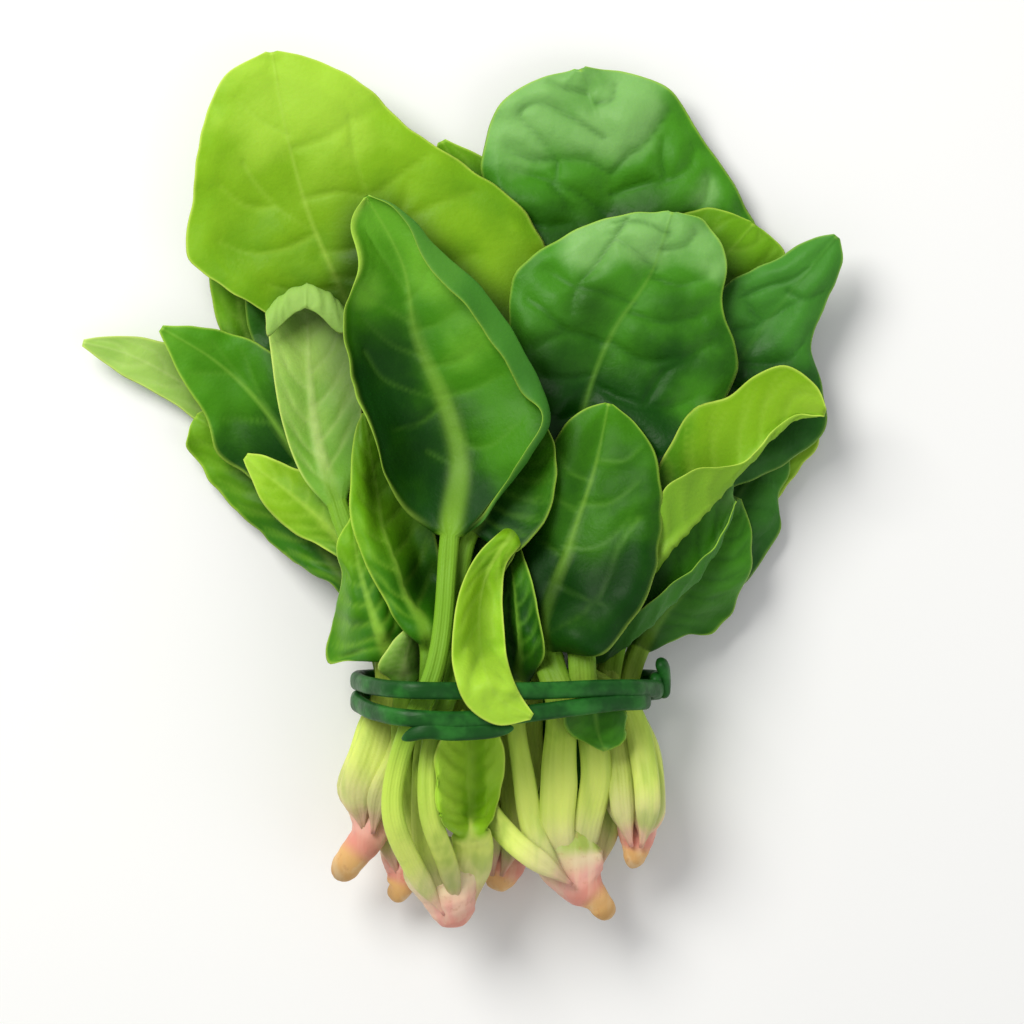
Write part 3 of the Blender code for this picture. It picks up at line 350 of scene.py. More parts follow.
LEAVES = [
    dict(name="under_leaf_centre", green=MID,
         stalk=[(9, -99, 6), (2, -80, 6), (-0.5, -57, 6)],
         mid=[(4, -28, 4), (6, 20, 1), (2, 60, 1), (-4, 90, 2)],
         left=[(-14, -8), (-25, 28), (-20, 68)], right=[(24, -4), (30, 30), (22, 68)]),
    dict(name="dark_base_leaf", green=DARK, radius=(1.87, 2.04), stiff=4, rings=8,
         stalk=[(15, -99, 8), (15, -96, 8)], mid=[(15, -94, 8), (14.5, -84, 6), (15, -70, 6), (16, -50, 6)],
         left=[(7, -92), (0, -80), (-1, -60)], right=[(23, -92), (28, -80), (28, -60)],
         edge=(-1, -1), ruffle=(2, 0.3)),
    dict(name="dark_base_leaf_right", green=DARK, radius=(1.87, 2.04), stiff=4, rings=8,
         stalk=[(46.5, -93, 8), (46, -90, 8)],
         mid=[(45.5, -88, 8), (43, -78, 6), (40, -66, 6), (37, -44, 6)],
         left=[(35, -89), (28, -78), (26.5, -60)], right=[(51, -87), (52, -76), (49, -60)],
         edge=(-1, -1), ruffle=(2, 0.3)),
    dict(name="under_leaf_left", green=MID,
         stalk=[(-19.5, -102, 6), (-17, -84, 7), (-14, -57, 8)],
         mid=[(-12, -38, 5), (-38, -6, 1), (-54, 12, 1), (-68, 32, 2)],
         left=[(-30, -27), (-48, -10), (-64, 8)], right=[(-14, -12), (-34, 18), (-52, 34)]),
    dict(name="under_leaf_upper_left", green=BRIGHT,
         stalk=[(-13.5, -102, 6), (-9, -84, 6), (-8, -57, 7)],
         mid=[(-13, -26, 4), (-33, 20, 1), (-46, 60, 2), (-53, 103, 4)],
         left=[(-30, -6), (-54, 22), (-65, 60), (-66, 88)],
         right=[(2, -4), (-10, 30), (-24, 68), (-38, 94)]),
    dict(name="under_leaf_upper_right", green=DARK,
         stalk=[(15, -99, 6), (20, -80, 6), (21, -57, 6)],
         mid=[(25, -28, 4), (38, 20, 1), (44, 60, 2), (38, 108, 4)],
         left=[(8, -4), (14, 40), (15, 78), (21, 100)], right=[(46, -6), (66, 28), (72, 68), (60, 98)]),
    dict(name="far_left_leaf", green=PALE, stiff=5,
         stalk=[(-19.5, -102, 8), (-22, -84, 10), (-20.5, -57, 10)],
         mid=[(-30, -26, 8), (-58, 14, 4), (-80, 31, 5), (-97, 39.5, 7), (-108, 42, 9)],
         left=[(-42, -18), (-62, 10), (-80, 25), (-98, 35)],
         right=[(-30, -6), (-54, 26), (-78, 39), (-99, 43)],
         edge=(1, 1.5), cup=(-0.5, -0.5), ruffle=(1, 0.2)),
    dict(name="lower_left_leaf", green=BRIGHT, stiff=6,
         stalk=[(-19.5, -102, 12), (-22, -84, 12), (-20.5, -57, 12)],
         mid=[(-27, -34, 8), (-42, -12, 4), (-56, 4, 4), (-67, 15, 5), (-76, 21, 7)],
         left=[(-33, -26.5), (-45, -19.5), (-56, -11), (-65, -3), (-73, 7), (-77.5, 15)],
         right=[(-27, -15), (-36, 5), (-48, 19), (-64, 26)], edge=(0.5, -1), ruffle=(4, 0.6)),
    dict(name="top_centre_leaf", green=BRIGHT, stiff=6,
         stalk=[(9, -99, 10), (7.5, -80, 8), (7, -57, 8)],
         mid=[(7, 0, 12), (6, 60, 6), (0, 90, 7), (-5.5, 100, 8)],
         left=[(-6, 20), (-8, 60), (-9, 88)], right=[(20, 20), (20, 60), (12, 90)],
         edge=(-0.5, 1.5), ruffle=(1, 0.2)),
    dict(name="upper_right_leaf", green=DARK, radius=(1.87, 1.78),
         stalk=[(15, -99, 10), (14.5, -80, 8), (14.5, -57, 8)],
         mid=[(32, 0, 10), (40, 45, 6), (42, 80, 8), (40, 103, 11), (34, 120, 12)],
         left=[(20, 20), (13, 55), (10, 80), (7.5, 95), (11, 107.5), (20, 116)],
         right=[(50, 15), (70, 45), (84, 72), (78, 85), (69, 99), (58, 114), (45, 119)],
         cup=(1.5, 1.5), edge=(-2, -2.5)),
    dict(name="small_left_leaf", green=BRIGHT, stiff=6,
         stalk=[(-13.5, -102, 10), (-15, -84, 12), (-14, -57, 12)],
         mid=[(-38, -6, 10), (-56, 32, 5), (-63, 52, 7), (-62, 74, 8)],
         left=[(-50, 12), (-62, 36), (-69.5, 54), (-69, 68)], right=[(-36, 12), (-48, 36), (-54, 60)],
         ruffle=(2, 0.4)),
    dict(name="small_inner_left_leaf", green=DARK, stiff=6,
         stalk=[(-13.5, -102, 14), (-9, -84, 12), (-8, -57, 12)],
         mid=[(-32, 0, 14), (-47, 30, 8), (-53, 52, 8), (-54, 70, 10)],
         left=[(-44, 12), (-56, 38), (-60, 54)], right=[(-30, 18), (-41, 40), (-47, 60)], ruffle=(2, 0.4)),
    dict(name="upper_left_leaf", green=LIME, radius=(1.95, 1.78), rings=12,
         stalk=[(9, -99, 14), (2, -82, 12), (-0.5, -57, 12)],
         mid=[(-18, 10, 20), (-33, 55, 14), (-42, 76, 16), (-48, 97, 19), (-53, 124, 22)],
         left=[(-30, 16), (-50, 49), (-66, 59), (-75, 66), (-74, 82), (-71, 103), (-65, 117)],
         right=[(2, 20), (20, 50), (23, 66), (17, 78), (0, 91.5), (-15, 101.5), (-28, 114), (-41, 121)],
         cup=(-1, 1), edge=(1.5, -1.5), ruffle=(3, 0.8)),
    "crown_back_centre", "crown_back_left",
    dict(name="under_leaf_right", green=DARK,
         stalk=[(46.5, -93, 12), (39, -78, 9), (35, -57, 9)],
         mid=[(38, -42, 6), (58, 0, 2), (77, 26, 3), (92, 50, 5)],
         left=[(38, -14), (52, 24), (74, 50)], right=[(54, -36), (74, -16), (88, 4), (97, 30)]),
    dict(name="upper_right_low_leaf", green=BRIGHT, stiff=6,
         stalk=[(46.5, -93, 14), (45, -78, 11), (42, -57, 11)],
         mid=[(50, 0, 8), (60, 40, 6), (72, 62, 8), (84, 76, 11)],
         left=[(44, 24), (50, 52), (58, 74), (70, 79.5)], right=[(62, 18), (78, 42), (90, 58), (92, 68)],
         cup=(1, 1), edge=(-1, -1)),
    dict(name="small_right_leaf", green=LIME, stiff=6,
         stalk=[(52.5, -93, 14), (52, -78, 14), (47.5, -57, 14)],
         mid=[(58, -30, 12), (80, -2, 6), (91, 10, 7), (101, 21, 8)],
         left=[(68, -6), (80, 12), (92, 22)], right=[(78, -16), (90, -1), (97, 8), (102, 15)],
         ruffle=(2, 0.4)),
    dict(name="lobed_right_leaf", green=BLUISH, stiff=6,
         stalk=[(46.5, -93, 16), (39, -76, 14), (35, -57, 14)],
         mid=[(62, -20, 13), (76, -6, 7), (84, 6, 8), (91, 21, 10)],
         left=[(60, -4), (70, 10), (80, 20)],
         right=[(70, -30), (80, -25), (85, -19), (91, -8), (90, -3), (93, 8)],
         ruffle=(3, 0.6), edge=(-1, -1.5)),
    dict(name="lower_right_leaf", green=DARK, stiff=6,
         stalk=[(52.5, -93, 18), (52, -78, 18), (47.5, -57, 18)],
         mid=[(51, -45, 18), (63, -28, 10), (73, -16, 9), (79, -2, 10)],
         left=[(53, -32), (60, -14), (70, -2)],
         right=[(63, -40), (71, -39.5), (75, -35), (80, -25), (82, -12)], ruffle=(3, 0.5), edge=(-1, -1.5)),
    dict(name="pointed_right_leaf", green=BLUISH, radius=(1.95, 1.78),
         stalk=[(46.5, -93, 20), (45, -78, 17), (42, -57, 17)],
         mid=[(58, -6, 22), (72, 26, 13), (86, 46, 14), (97, 60, 17), (107, 72, 19)],
         left=[(56, 14), (66, 40), (76, 57), (92, 66), (101, 71)],
         right=[(72, 0), (90, 8), (103, 20), (101.5, 33), (99, 42), (104, 55), (108, 66)],
         cup=(1.5, 1.5), edge=(-1.5, -2), ruffle=(2, 0.5)),
    dict(name="folded_right_leaf", green=DARK, radius=(1.95, 1.78), stiff=6, rings=11,
         stalk=[(52.5, -93, 22), (52, -78, 22), (46.8, -60, 24)],
         mid=[(34, -50, 31), (45, -43.5, 19), (57, -32.5, 19), (66, -24.5, 19), (73, -13, 19), (78, -3, 20)],
         left=[(38, -30, 0), (50, -10, 0), (60, 2, 0), (70, 7, 1), (77, 5, 0)],
         right=[(32, -46, 4), (41, -39, 6), (49, -31, 7), (56, -27, 7), (66, -19, 5), (73, -11, 3)],
         cup=(-0.5, 0.5), edge=(0.5, 0), ruffle=(3, 0.3)),
    "crown_right",
    dict(name="broad_left_leaf", green=MID, stiff=6,
         stalk=[(-28, -85, 16), (-24, -74, 18), (-20.5, -57, 18)],
         mid=[(-33, -10, 18), (-46, 10, 11), (-58, 26, 12), (-70, 37, 14), (-85, 46, 16)],
         left=[(-46, -4), (-60, 6), (-67, 11), (-71, 22), (-77.5, 31), (-82, 40)],
         right=[(-31, 8), (-42, 26), (-54, 38), (-65, 43.5), (-76, 45.5)], cup=(-0.5, 1), edge=(1, -1)),
    dict(name="lower_left_pale_leaf", green=LIME, stiff=6,
         stalk=[(-22, -85, 16), (-17, -74, 18), (-14, -57, 18)],
         mid=[(-28, -20, 20), (-38, -9, 11), (-49, 0, 12), (-61, 9.5, 13)],
         left=[(-35, -15.5), (-43, -12), (-50, -8), (-57, 1)],
         right=[(-30, -8), (-39, 3), (-48, 5), (-56, 9)],
         cup=(-1, -0.5), edge=(1, 1), ruffle=(2, 0.4)),
    dict(name="rolled_left_leaf", green=PALE, radius=(1.95, 2.04), stiff=6, rings=15, curl=(51, 6.2, 0.62),
         stalk=[(-28, -85, 22), (-24, -74, 24), (-20.5, -57, 24)],
         mid=[(-34, -4, 24), (-39.5, 12, 15), (-42.2, 31, 16), (-43, 46, 17), (-43, 60, 18), (-43, 71, 18)],
         left=[(-41, 4, 3), (-47, 18, 5), (-50.5, 34, 5), (-52.4, 47, 4), (-53, 57, 2), (-52, 66, 1),
               (-48, 70, 0)],
         right=[(-31, 8, 3), (-29.5, 26, 3), (-31, 42, 3), (-33, 54, 2), (-33.5, 64, 1), (-37, 70, 0)],
         cup=(0, 0), edge=(0, 0), ruffle=(1, 0)),
    dict(name="draping_left_leaf", green=BRIGHT, stiff=5,
         stalk=[(-22, -85, 22), (-17, -74, 24), (-14, -60, 24)],
         mid=[(-19, -47, 31), (-24, -34, 18), (-28, -20, 18), (-29.5, -7, 19)],
         left=[(-27, -47), (-35, -48), (-35, -38), (-32.5, -27), (-33, -19)],
         right=[(-17, -38), (-20, -28), (-25, -14)], cup=(0.5, 0.5), edge=(-1, -0.5), ruffle=(3, 0.4)),
    "crown_left",
    dict(name="round_right_leaf", green=DARK, radius=(2.11, 1.87), rings=12,
         stalk=[(35, -102, 24), (38.5, -80, 24), (35, -57, 26)],
         mid=[(34, -10, 26), (35.5, 24, 20), (43, 44, 22), (54, 61, 24), (60, 78.5, 25)],
         left=[(26, 2), (20, 22), (16, 44), (17, 60), (26, 68), (38, 74.5), (50, 77.5)],
         right=[(46, -4), (57, 6), (69, 19), (77, 38), (73, 53), (74, 66), (68, 76)],
         cup=(1.5, 1.5), edge=(-2, -2.5), ruffle=(2.5, 0.5)),
    dict(name="curled_right_leaf", green=LIME, radius=(1.95, 1.78), rings=13, stiff=5,
         stalk=[(40.5, -101, 24), (44, -80, 26), (42, -57, 28)],
         mid=[(51, -26, 26), (59, -15.5, 23), (70, -4, 24), (80, 7, 25), (88, 16, 26), (96, 21, 27),
              (103, 21, 26)],
         left=[(53, -8, -2), (60, 10, -2), (68, 22, -1), (77, 25, 1), (84, 31, 5), (91, 33.5, 7),
               (99, 29, 5)],
         right=[(52, -10, 4), (56, 2, 6), (64, 7, 7), (72, 7.5, 6), (79, 9, 4), (87, 17.5, 2), (95, 22, 1)],
         cup=(-1, 0.5), edge=(0, 0), ruffle=(2, 0.2)),
    dict(name="centre_right_leaf", green=MID, radius=(2.5, 2.04),
         stalk=[(29, -102, 26), (28, -80, 26), (28, -57, 28)],
         mid=[(24, -44, 30), (30, -18, 25), (38, 6, 26), (42, 24.5, 28)],
         left=[(20, -36), (20, -18), (24, -2), (28, 14), (36, 22.5)],
         right=[(34, -46), (46, -35), (53, -20), (55, 0), (51, 16)],
         cup=(1.5, 1.5), edge=(-2, -2), ruffle=(2, 0.4)),
    dict(name="inner_strap_leaf", green=MID, radius=(1.79, 1.7), stiff=4,
         stalk=[(23.5, -102, 24), (18, -80, 26), (16, -62, 28)],
         mid=[(17, -54, 30), (16.5, -40, 25), (15.5, -26, 26), (14, -12, 26)],
         left=[(13, -48), (11, -38), (11, -24)], right=[(21, -47), (20.5, -36), (18, -22)],
         edge=(0.5, 1), cup=(0, 0), ruffle=(1, 0)),
    dict(name="hidden_inner_leaf", green=MID, radius=(1.79, 1.7), stiff=5,
         stalk=[(25, -105.5, 30), (14, -97, 28), (8, -90, 26), (7, -72, 24), (7, -57, 24)],
         mid=[(6, -30, 28), (8, -6, 23), (8, 14, 23)],
         left=[(-2, -16), (-2, 2)], right=[(14, -16), (16, 2)],
         ruffle=(1, 0.2)),
    "crown_right_centre",
    dict(name="small_base_leaf", green=PALE, stiff=4,
         stalk=[(-8, -105, 24), (-15, -80, 28), (-16, -62, 30)],
         mid=[(-15, -54, 30), (-14.5, -46, 22), (-12, -37, 23)],
         left=[(-20, -50), (-18, -44)], right=[(-11, -50), (-9, -42)], ruffle=(1, 0)),
    dict(name="narrow_left_leaf", green=BRIGHT, stiff=5,
         stalk=[(-8, -105, 28), (-10, -80, 28), (-8.5, -57, 28)],
         mid=[(-8.5, -42, 30), (-15, -28, 25), (-20, -14, 25), (-24, 4, 26), (-26.5, 22, 26)],
         left=[(-13, -38), (-20, -27), (-26, -16), (-28.8, -5), (-29, 5), (-28.5, 15)],
         right=[(-7, -31), (-8, -15), (-13, 0), (-20, 14)], cup=(0.5, 0.5), edge=(0, -0.5), ruffle=(2, 0.3)),
    dict(name="cupped_centre_leaf", green=MID, radius=(2.18, 1.78), stiff=5,
         stalk=[(-3, -105, 26), (-8, -88, 28), (-7, -68, 30), (-1.5, -53, 30)],
         mid=[(3, -12, 30), (10, 0, 25), (17, 10, 26), (22, 21, 28)],
         left=[(2, 0), (8, 12), (15, 20)], right=[(12, -16), (22, -8), (25.4, 2), (25.5, 13)],
         cup=(-1, -1.5), edge=(0.5, 2), ruffle=(1, 0.2)),
    dict(name="large_front_leaf", green=MID, radius=(2.5, 2.04), rings=14, stiff=7, fold_at=0.72,
         stalk=[(-12.5, -105, 28), (-18, -90, 30), (-14, -67, 34), (-7.5, -53, 36)],
         mid=[(-2.5, -13, 34), (0, 10, 29), (-5, 27, 29), (-12, 43, 30), (-15.5, 62, 31), (-26, 82.5, 34)],
         left=[(-9, -9, 2), (-16, -3, 4), (-21, 3, 5), (-24, 13, 7), (-28, 22, 7), (-32, 36, 6), (-33, 50, 6),
               (-28.5, 63, 5), (-29.5, 75, 2)],
         right=[[(3, -8, 1), (9, -1, 3), (17, 8, 5), (23, 19, 6), (21, 28, 6), (16, 39, 6), (9, 51, 5),
                 (-4, 64, 4), (-19, 78, 2)],
                [(3, -7, 2), (8, 0, 5), (14.5, 9, 8), (20, 18, 9), (14, 28, 9), (9, 37, 9), (1, 49, 8),
                 (-9, 60, 7), (-18, 76, 3)]],
         cup=(-1.5, 1), edge=(0.5, 0), ruffle=(3, 0.6)),
    dict(name="crumpled_base_leaf", green=LIME, radius=(2.18, 2.21), stiff=3,
         stalk=[(3.5, -105, 27), (4, -99, 30)],
         mid=[(3.5, -96, 31), (3, -86, 20), (3, -74, 22), (3.5, -62, 22)],
         left=[(-3, -90), (-5, -80), (-4, -70)], right=[(8, -90), (10.5, -80), (10, -69)],
         cup=(1, 1), edge=(-1, -1), ruffle=(2, 0.5)),
    "crown_left_centre",
    dict(name="torn_dark_leaf", green=DARK, radius=(0.86, 0.85), stiff=3, rings=8,
         stalk=[(36.5, -47, 30), (37, -53, 30)],
         mid=[(37.5, -56, 30), (38, -63, 22), (39, -68, 22), (41, -73, 22)],
         left=[(44, -59), (46.3, -67.5), (44, -72)], right=[(30.5, -60), (32, -68.5), (37, -71)],
         cup=(0.3, 0.3), edge=(0, 0), ruffle=(2, 0.2)),
    "tie",
    dict(name="tongue_leaf", green=LIME, radius=(1.25, 1.02), stiff=4, rings=13,
         stalk=[(21, -7.5, 30), (20, -8.5, 30)],
         mid=[(18.5, -9.5, 30), (13, -15, 24), (7.5, -24, 22), (5.5, -36, 22), (6.5, -47, 22),
              (11, -57, 22), (20.5, -62.5, 22)],
         left=[(16.5, -13.5), (12, -20), (10.8, -29), (11.2, -38), (13, -49), (17, -57.5)],
         right=[(13, -13), (7, -18.5), (2, -28), (0, -38), (0, -50), (4, -59.5), (11, -63.8)],
         cup=(0.6, 0.6), edge=(0.3, 0.3), ruffle=(1, 0.1)),
]

CROWNS = {                 # centre line from root tip to collar: x, y, z, half width, half height
    "crown_back_left": [(-20.5, -115, 6, 2.4, 2.4), (-18, -114, 8, 3.6, 3.6), (-16, -110, 10, 5, 5.5),
                        (-16, -104, 12, 6.5, 7.5)],
    "crown_back_centre": [(8, -113, 6, 2, 2.5), (11, -110, 9, 5.5, 5.5), (13, -101, 12, 7, 8)],
    "crown_right": [(48.5, -107, 16, 2, 2), (50, -101, 18, 4.3, 4.5), (50, -95, 20, 6, 8)],
    "crown_left": [(-35, -110, 17, 3.6, 3.6), (-29.5, -103, 20, 4.6, 4.6), (-25.5, -97, 23, 5.2, 5.2),
                   (-24.5, -92, 24, 6.4, 7), (-25, -87, 25, 6.6, 7.5)],
    "crown_right_centre": [(42.5, -121, 20, 3.2, 3.2), (39, -115.5, 23, 3.9, 3.9), (34.5, -111, 26, 7, 6),
                           (31.5, -104, 29, 10, 8)],
    "crown_left_centre": [(1, -122.5, 22, 2.8, 2.8), (-0.5, -119.5, 24, 5.8, 5), (-2.5, -114, 27, 8.3, 7),
                          (-4.5, -107, 29, 11, 8)],
}


def crown_rings(stations, rings, around):
    """Rings of a crown from the root tip to the collar that the stalks stand on."""
    t = np.linspace(0, 1, rings)
    line = curve(stations, t)
    ahead = np.gradient(line[:, :3], t, axis=0)
    side = np.stack([ahead[:, 1], -ahead[:, 0], 0 * t], axis=1)
    side /= np.linalg.norm(side, axis=1)[:, None]
    turn = np.linspace(0, 2 * np.pi, around, endpoint=False)
    return (line[:, None, :3] + side[:, None, :] * (line[:, 3:4] * np.cos(turn))[:, :, None]
            + np.array([0, 0, 1.0]) * (line[:, 4:5] * np.sin(turn))[:, :, None])


def crown_body(stations):
    """Coarse solid of a crown."""
    rings = crown_rings(stations, 9, 14)
    verts = rings.reshape(-1, 3)
    return verts, outward(verts, ring_faces(*rings.shape[:2]))


# ---------------------------------------------------------------- the tie

HELD = np.array([[-25.5, -69.0], [52.5, -49.5]])     # corners in plan of what the cord holds
TURN_Y = -53.5, -59.0      # where its first and second turn cross the sides of the bundle
TURN_SAG = 2.0, 4.8        # how far their fronts sag toward the roots, the second only on the left
SAG_START = 45.0           # x where that sag starts, growing leftward to its full size at x = 0
TAIL_SPAN = -17, 19        # x between which the cord's loose end lies against the second turn
STEP_ASIDE = 2 * CORD + 0.15                         # from a cord's middle to that of one beside it


def tube(path, radius, around=8):
    """Solid tube along a path with rounded-off ends."""
    p = np.asarray(path, float)
    ahead = np.gradient(p, axis=0)
    ahead /= np.linalg.norm(ahead, axis=1)[:, None]
    side = np.cross(ahead, [0.0, 1.0, 0.0])
    flat = np.linalg.norm(side, axis=1) < 0.2
    side[flat] = np.cross(ahead[flat], [0.0, 0.0, 1.0])
    side /= np.linalg.norm(side, axis=1)[:, None]
    up = np.cross(side, ahead)
    size = np.full(len(p), radius)
    size[[0, -1]] *= 0.6
    turn = np.linspace(0, 2 * np.pi, around, endpoint=False)
    rings = (p[:, None] + side[:, None] * (size[:, None] * np.cos(turn))[:, :, None]
             + up[:, None] * (size[:, None] * np.sin(turn))[:, :, None])
    verts = rings.reshape(-1, 3)
    return verts, outward(verts, ring_faces(len(p), around))


def hull_radius(points, centre, angle, clearance):
    """Distance from the centre to a convex wrap of the points, in each direction."""
    way = np.linspace(0, 2 * np.pi, 90, endpoint=False)
    normal = np.stack([np.cos(way), np.sin(way)], axis=1)
    reach = (points @ normal.T).max(axis=0) - normal @ centre + clearance
    facing = np.cos(angle[:, None] - way[None, :])
    return np.where(facing > 0.05, reach / np.maximum(facing, 0.05), np.inf).min(axis=1)


def tie_path(bodies):
    """Two turns of cord round the stalks: the second turn sags toward the roots on the left."""
    # points along every edge of the bodies, of which only those under the cord count
    edges = np.concatenate([verts[faces][:, [[0, 1], [1, 2], [2, 0]]].reshape(-1, 2, 3)
                            for verts, faces in bodies])
    points = np.concatenate([edges[:, 0] * (1 - f) + edges[:, 1] * f for f in np.linspace(0, 0.9, 10)])
    plan = points[:, :2]
    points = points[((plan > HELD[0]) & (plan < HELD[1])).all(axis=1)]
    angle = np.linspace(-0.15, 4 * np.pi - 0.25, 78) * -1
    reach = hull_radius(points[:, [0, 2]], BAND_CENTRE, angle, CORD + CORD_GAP)
    turns = -angle / (2 * np.pi)
    x = BAND_CENTRE[0] + reach * np.cos(angle)
    z = BAND_CENTRE[1] + reach * np.sin(angle)
    front = np.clip(np.sin(angle), 0, 1)
    first = TURN_Y[0] - TURN_SAG[0] * front
    second = TURN_Y[1] - TURN_SAG[1] * np.clip((SAG_START - x) / SAG_START, 0, 1) * front
    y = first + (second - first) * smooth((turns - 0.85) / 0.3)
    return np.stack([x, y, z], axis=1)


def tail_path(line):
    """Loose end of the cord, lying against the roots' side of the second turn's front."""
    front = line[len(line) // 2:]
    left, right = TAIL_SPAN
    front = front[(front[:, 2] > BAND_CENTRE[1]) & (front[:, 0] > left) & (front[:, 0] < right)]
    close = front - [0, STEP_ASIDE, 0]
    first = close[0] if close[0, 0] < close[-1, 0] else close[-1]
    tip = first + [-5.5, -2.2, -1.5]
    ends = [[tip], close] if close[0, 0] < close[-1, 0] else [close, [tip]]
    return np.concatenate(ends)


def knot_path(line):
    """Short bent end of the cord beside the outermost point on the right."""
    right = line[line[:, 0].argmax()]
    x = right[0] + STEP_ASIDE
    y, z = right[1], right[2] + 2
    return np.array([(x - 1.6, y + 7.5, z + 3), (x - 0.2, y + 5, z + 2), (x + 0.3, y + 2, z),
                     (x + 0.3, y - 1, z - 1), (x, y - 3.6, z - 2)])


# ---------------------------------------------------------------- veins

VEINS = {                  # side veins that stand out, in plan; other leaves get a regular set
    "upper_left_leaf": [
        [(-61, 92), (-58, 87), (-51, 79.5), (-43, 74)], [(-31, 105), (-29, 92), (-26, 83)],
        [(-47, 96), (-38, 99), (-30, 104), (-24, 107)], [(-48, 100), (-56, 104), (-63, 110)],
        [(-44, 82), (-34, 84), (-26, 83), (-15, 90), (-8, 95)], [(-41, 72), (-50, 68), (-60, 67), (-68, 70)],
        [(-39, 67), (-30, 68), (-20, 74), (-8, 80), (4, 84)], [(-36, 60), (-26, 60), (-12, 62), (4, 66)],
        [(-52, 80), (-60, 80), (-68, 86)], [(-35, 57), (-46, 56), (-54, 58)],
        [(-20, 74), (-16, 80), (-14, 88)]],
    "upper_right_leaf": [
        [(41, 100), (33, 105), (20, 109.5), (17, 107), (22, 101), (27.5, 94)],
        [(43, 90), (36, 93.5), (28, 94)], [(27.5, 94), (20, 94), (13, 97)], [(27.5, 94), (27.5, 88)],
        [(42, 78), (34, 84), (25, 88), (16, 90.5)], [(25, 88), (29, 83), (34, 75)],
        [(18, 77), (24, 75), (32, 76)], [(43, 90), (48, 95), (51, 97), (60, 108)],
        [(43, 84), (52, 87), (58.5, 88), (65, 92), (67, 97)], [(58.5, 88), (57.5, 95), (58, 100)],
        [(42, 74), (54, 74), (64, 78), (70, 83), (71, 89)], [(39, 110), (43, 111), (44.5, 116)],
        [(36, 113), (30, 114), (25, 116)]],
    "round_right_leaf": [
        [(59, 72), (52, 75), (44, 75)], [(55, 62), (48, 68), (42, 72)],
        [(49, 52), (38, 56), (33, 57), (24, 62)], [(47, 76), (38, 63), (33, 57), (31, 50)],
        [(41, 41), (30, 44), (21, 40)], [(30, 44), (24, 50), (19, 54)], [(37, 32), (29, 31), (23, 32)],
        [(57, 67.5), (64, 69), (67, 72.5)], [(54, 60), (61, 57.5), (70, 60)], [(48, 50), (58, 47), (68, 49)],
        [(42, 42), (52, 36), (62, 37), (71, 41)], [(53, 25), (58, 33), (67, 37.5)],
        [(37, 30), (47, 25), (57, 23), (65, 25)], [(36, 20), (46, 12), (56, 9)],
        [(35, 22), (28, 20), (23, 22)]],
    "pointed_right_leaf": [
        [(77, 45), (82, 45.5), (90, 50), (95, 53), (100, 54)], [(80, 55), (87, 57.5), (93, 59), (99, 63)],
        [(77, 36.5), (85, 35.5), (92, 36.5), (98, 42)], [(93, 56), (97, 54), (103, 56)],
        [(86, 47), (82, 52), (80, 57)], [(75, 30), (84, 27), (93, 26), (100, 28)]],
    "lobed_right_leaf": [
        [(80, 6), (84, 3.5), (91, 2)], [(78, -4.5), (89, -5.5)],
        [(77.5, -6), (79, -13), (81, -19), (80, -23)], [(80, -14), (85, -14), (88, -12)]],
    "centre_right_leaf": [
        [(50, -8), (45, -15), (42, -24), (35, -34), (26, -40)], [(39, 8), (46, 8), (51, 12)],
        [(37, 2), (30, 6), (28, 11)], [(34, -4), (42, -4), (50, 2)], [(33, -6), (27, -2), (25, 2)],
        [(29, -16), (38, -16), (48, -8)], [(28, -18), (22, -14)], [(26, -26), (34, -30), (40, -32)]],
    "large_front_leaf": [
        [(-27, 38), (-22, 31), (-15, 28), (-6, 25.5)], [(-14, 47), (-22, 52), (-29, 58)],
        [(-15, 56), (-21, 64), (-26, 72)], [(-10, 37), (-18, 40), (-28, 48)],
        [(-4, 24), (-12, 18), (-20, 16)], [(-9, 10.5), (-4, 8), (0, 6)], [(-13, 44), (-6, 46), (0, 50)],
        [(-9, 34), (0, 36), (6, 40)], [(-5, 26), (4, 28), (12, 32)], [(-1, 16), (3, 12), (8, 12), (16, 18)],
        [(-15, 52), (-11, 56), (-9, 61)]],
    "broad_left_leaf": [
        [(-58, 26), (-64, 34), (-70, 42)], [(-50, 16), (-56, 26), (-62, 40)],
        [(-52, 19), (-62, 20), (-68, 20)], [(-44, 8), (-50, 6), (-58, 8)], [(-42, 5), (-42, 16), (-46, 28)],
        [(-66, 33), (-72, 33), (-77, 33)]],
}

# ---------------------------------------------------------------- the frame and the heap

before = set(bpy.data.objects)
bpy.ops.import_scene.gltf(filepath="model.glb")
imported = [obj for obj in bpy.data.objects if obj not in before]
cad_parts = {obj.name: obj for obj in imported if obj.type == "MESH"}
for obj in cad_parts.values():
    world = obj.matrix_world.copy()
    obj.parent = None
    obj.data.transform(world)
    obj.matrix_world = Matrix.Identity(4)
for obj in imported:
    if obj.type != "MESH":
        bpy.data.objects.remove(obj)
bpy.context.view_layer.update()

heap = Heap()
for piece in LEAVES:
    if piece == "tie":
        heap.lay_tie()
    elif isinstance(piece, str):
        heap.lay_crown(piece, CROWNS[piece])
    else:
        heap.lay(piece)
surroundings = blur(heap.top, 9)            # mean height of the heap round each place, for the painted shade of low places
everything = np.concatenate([verts for verts, _ in heap.bodies.values()])
low, high = everything.min(axis=0), everything.max(axis=0)
shift = np.array([(low[0] + high[0]) / 2, (low[1] + high[1]) / 2, low[2]])     # to the part's origin


# ---------------------------------------------------------------- meshes

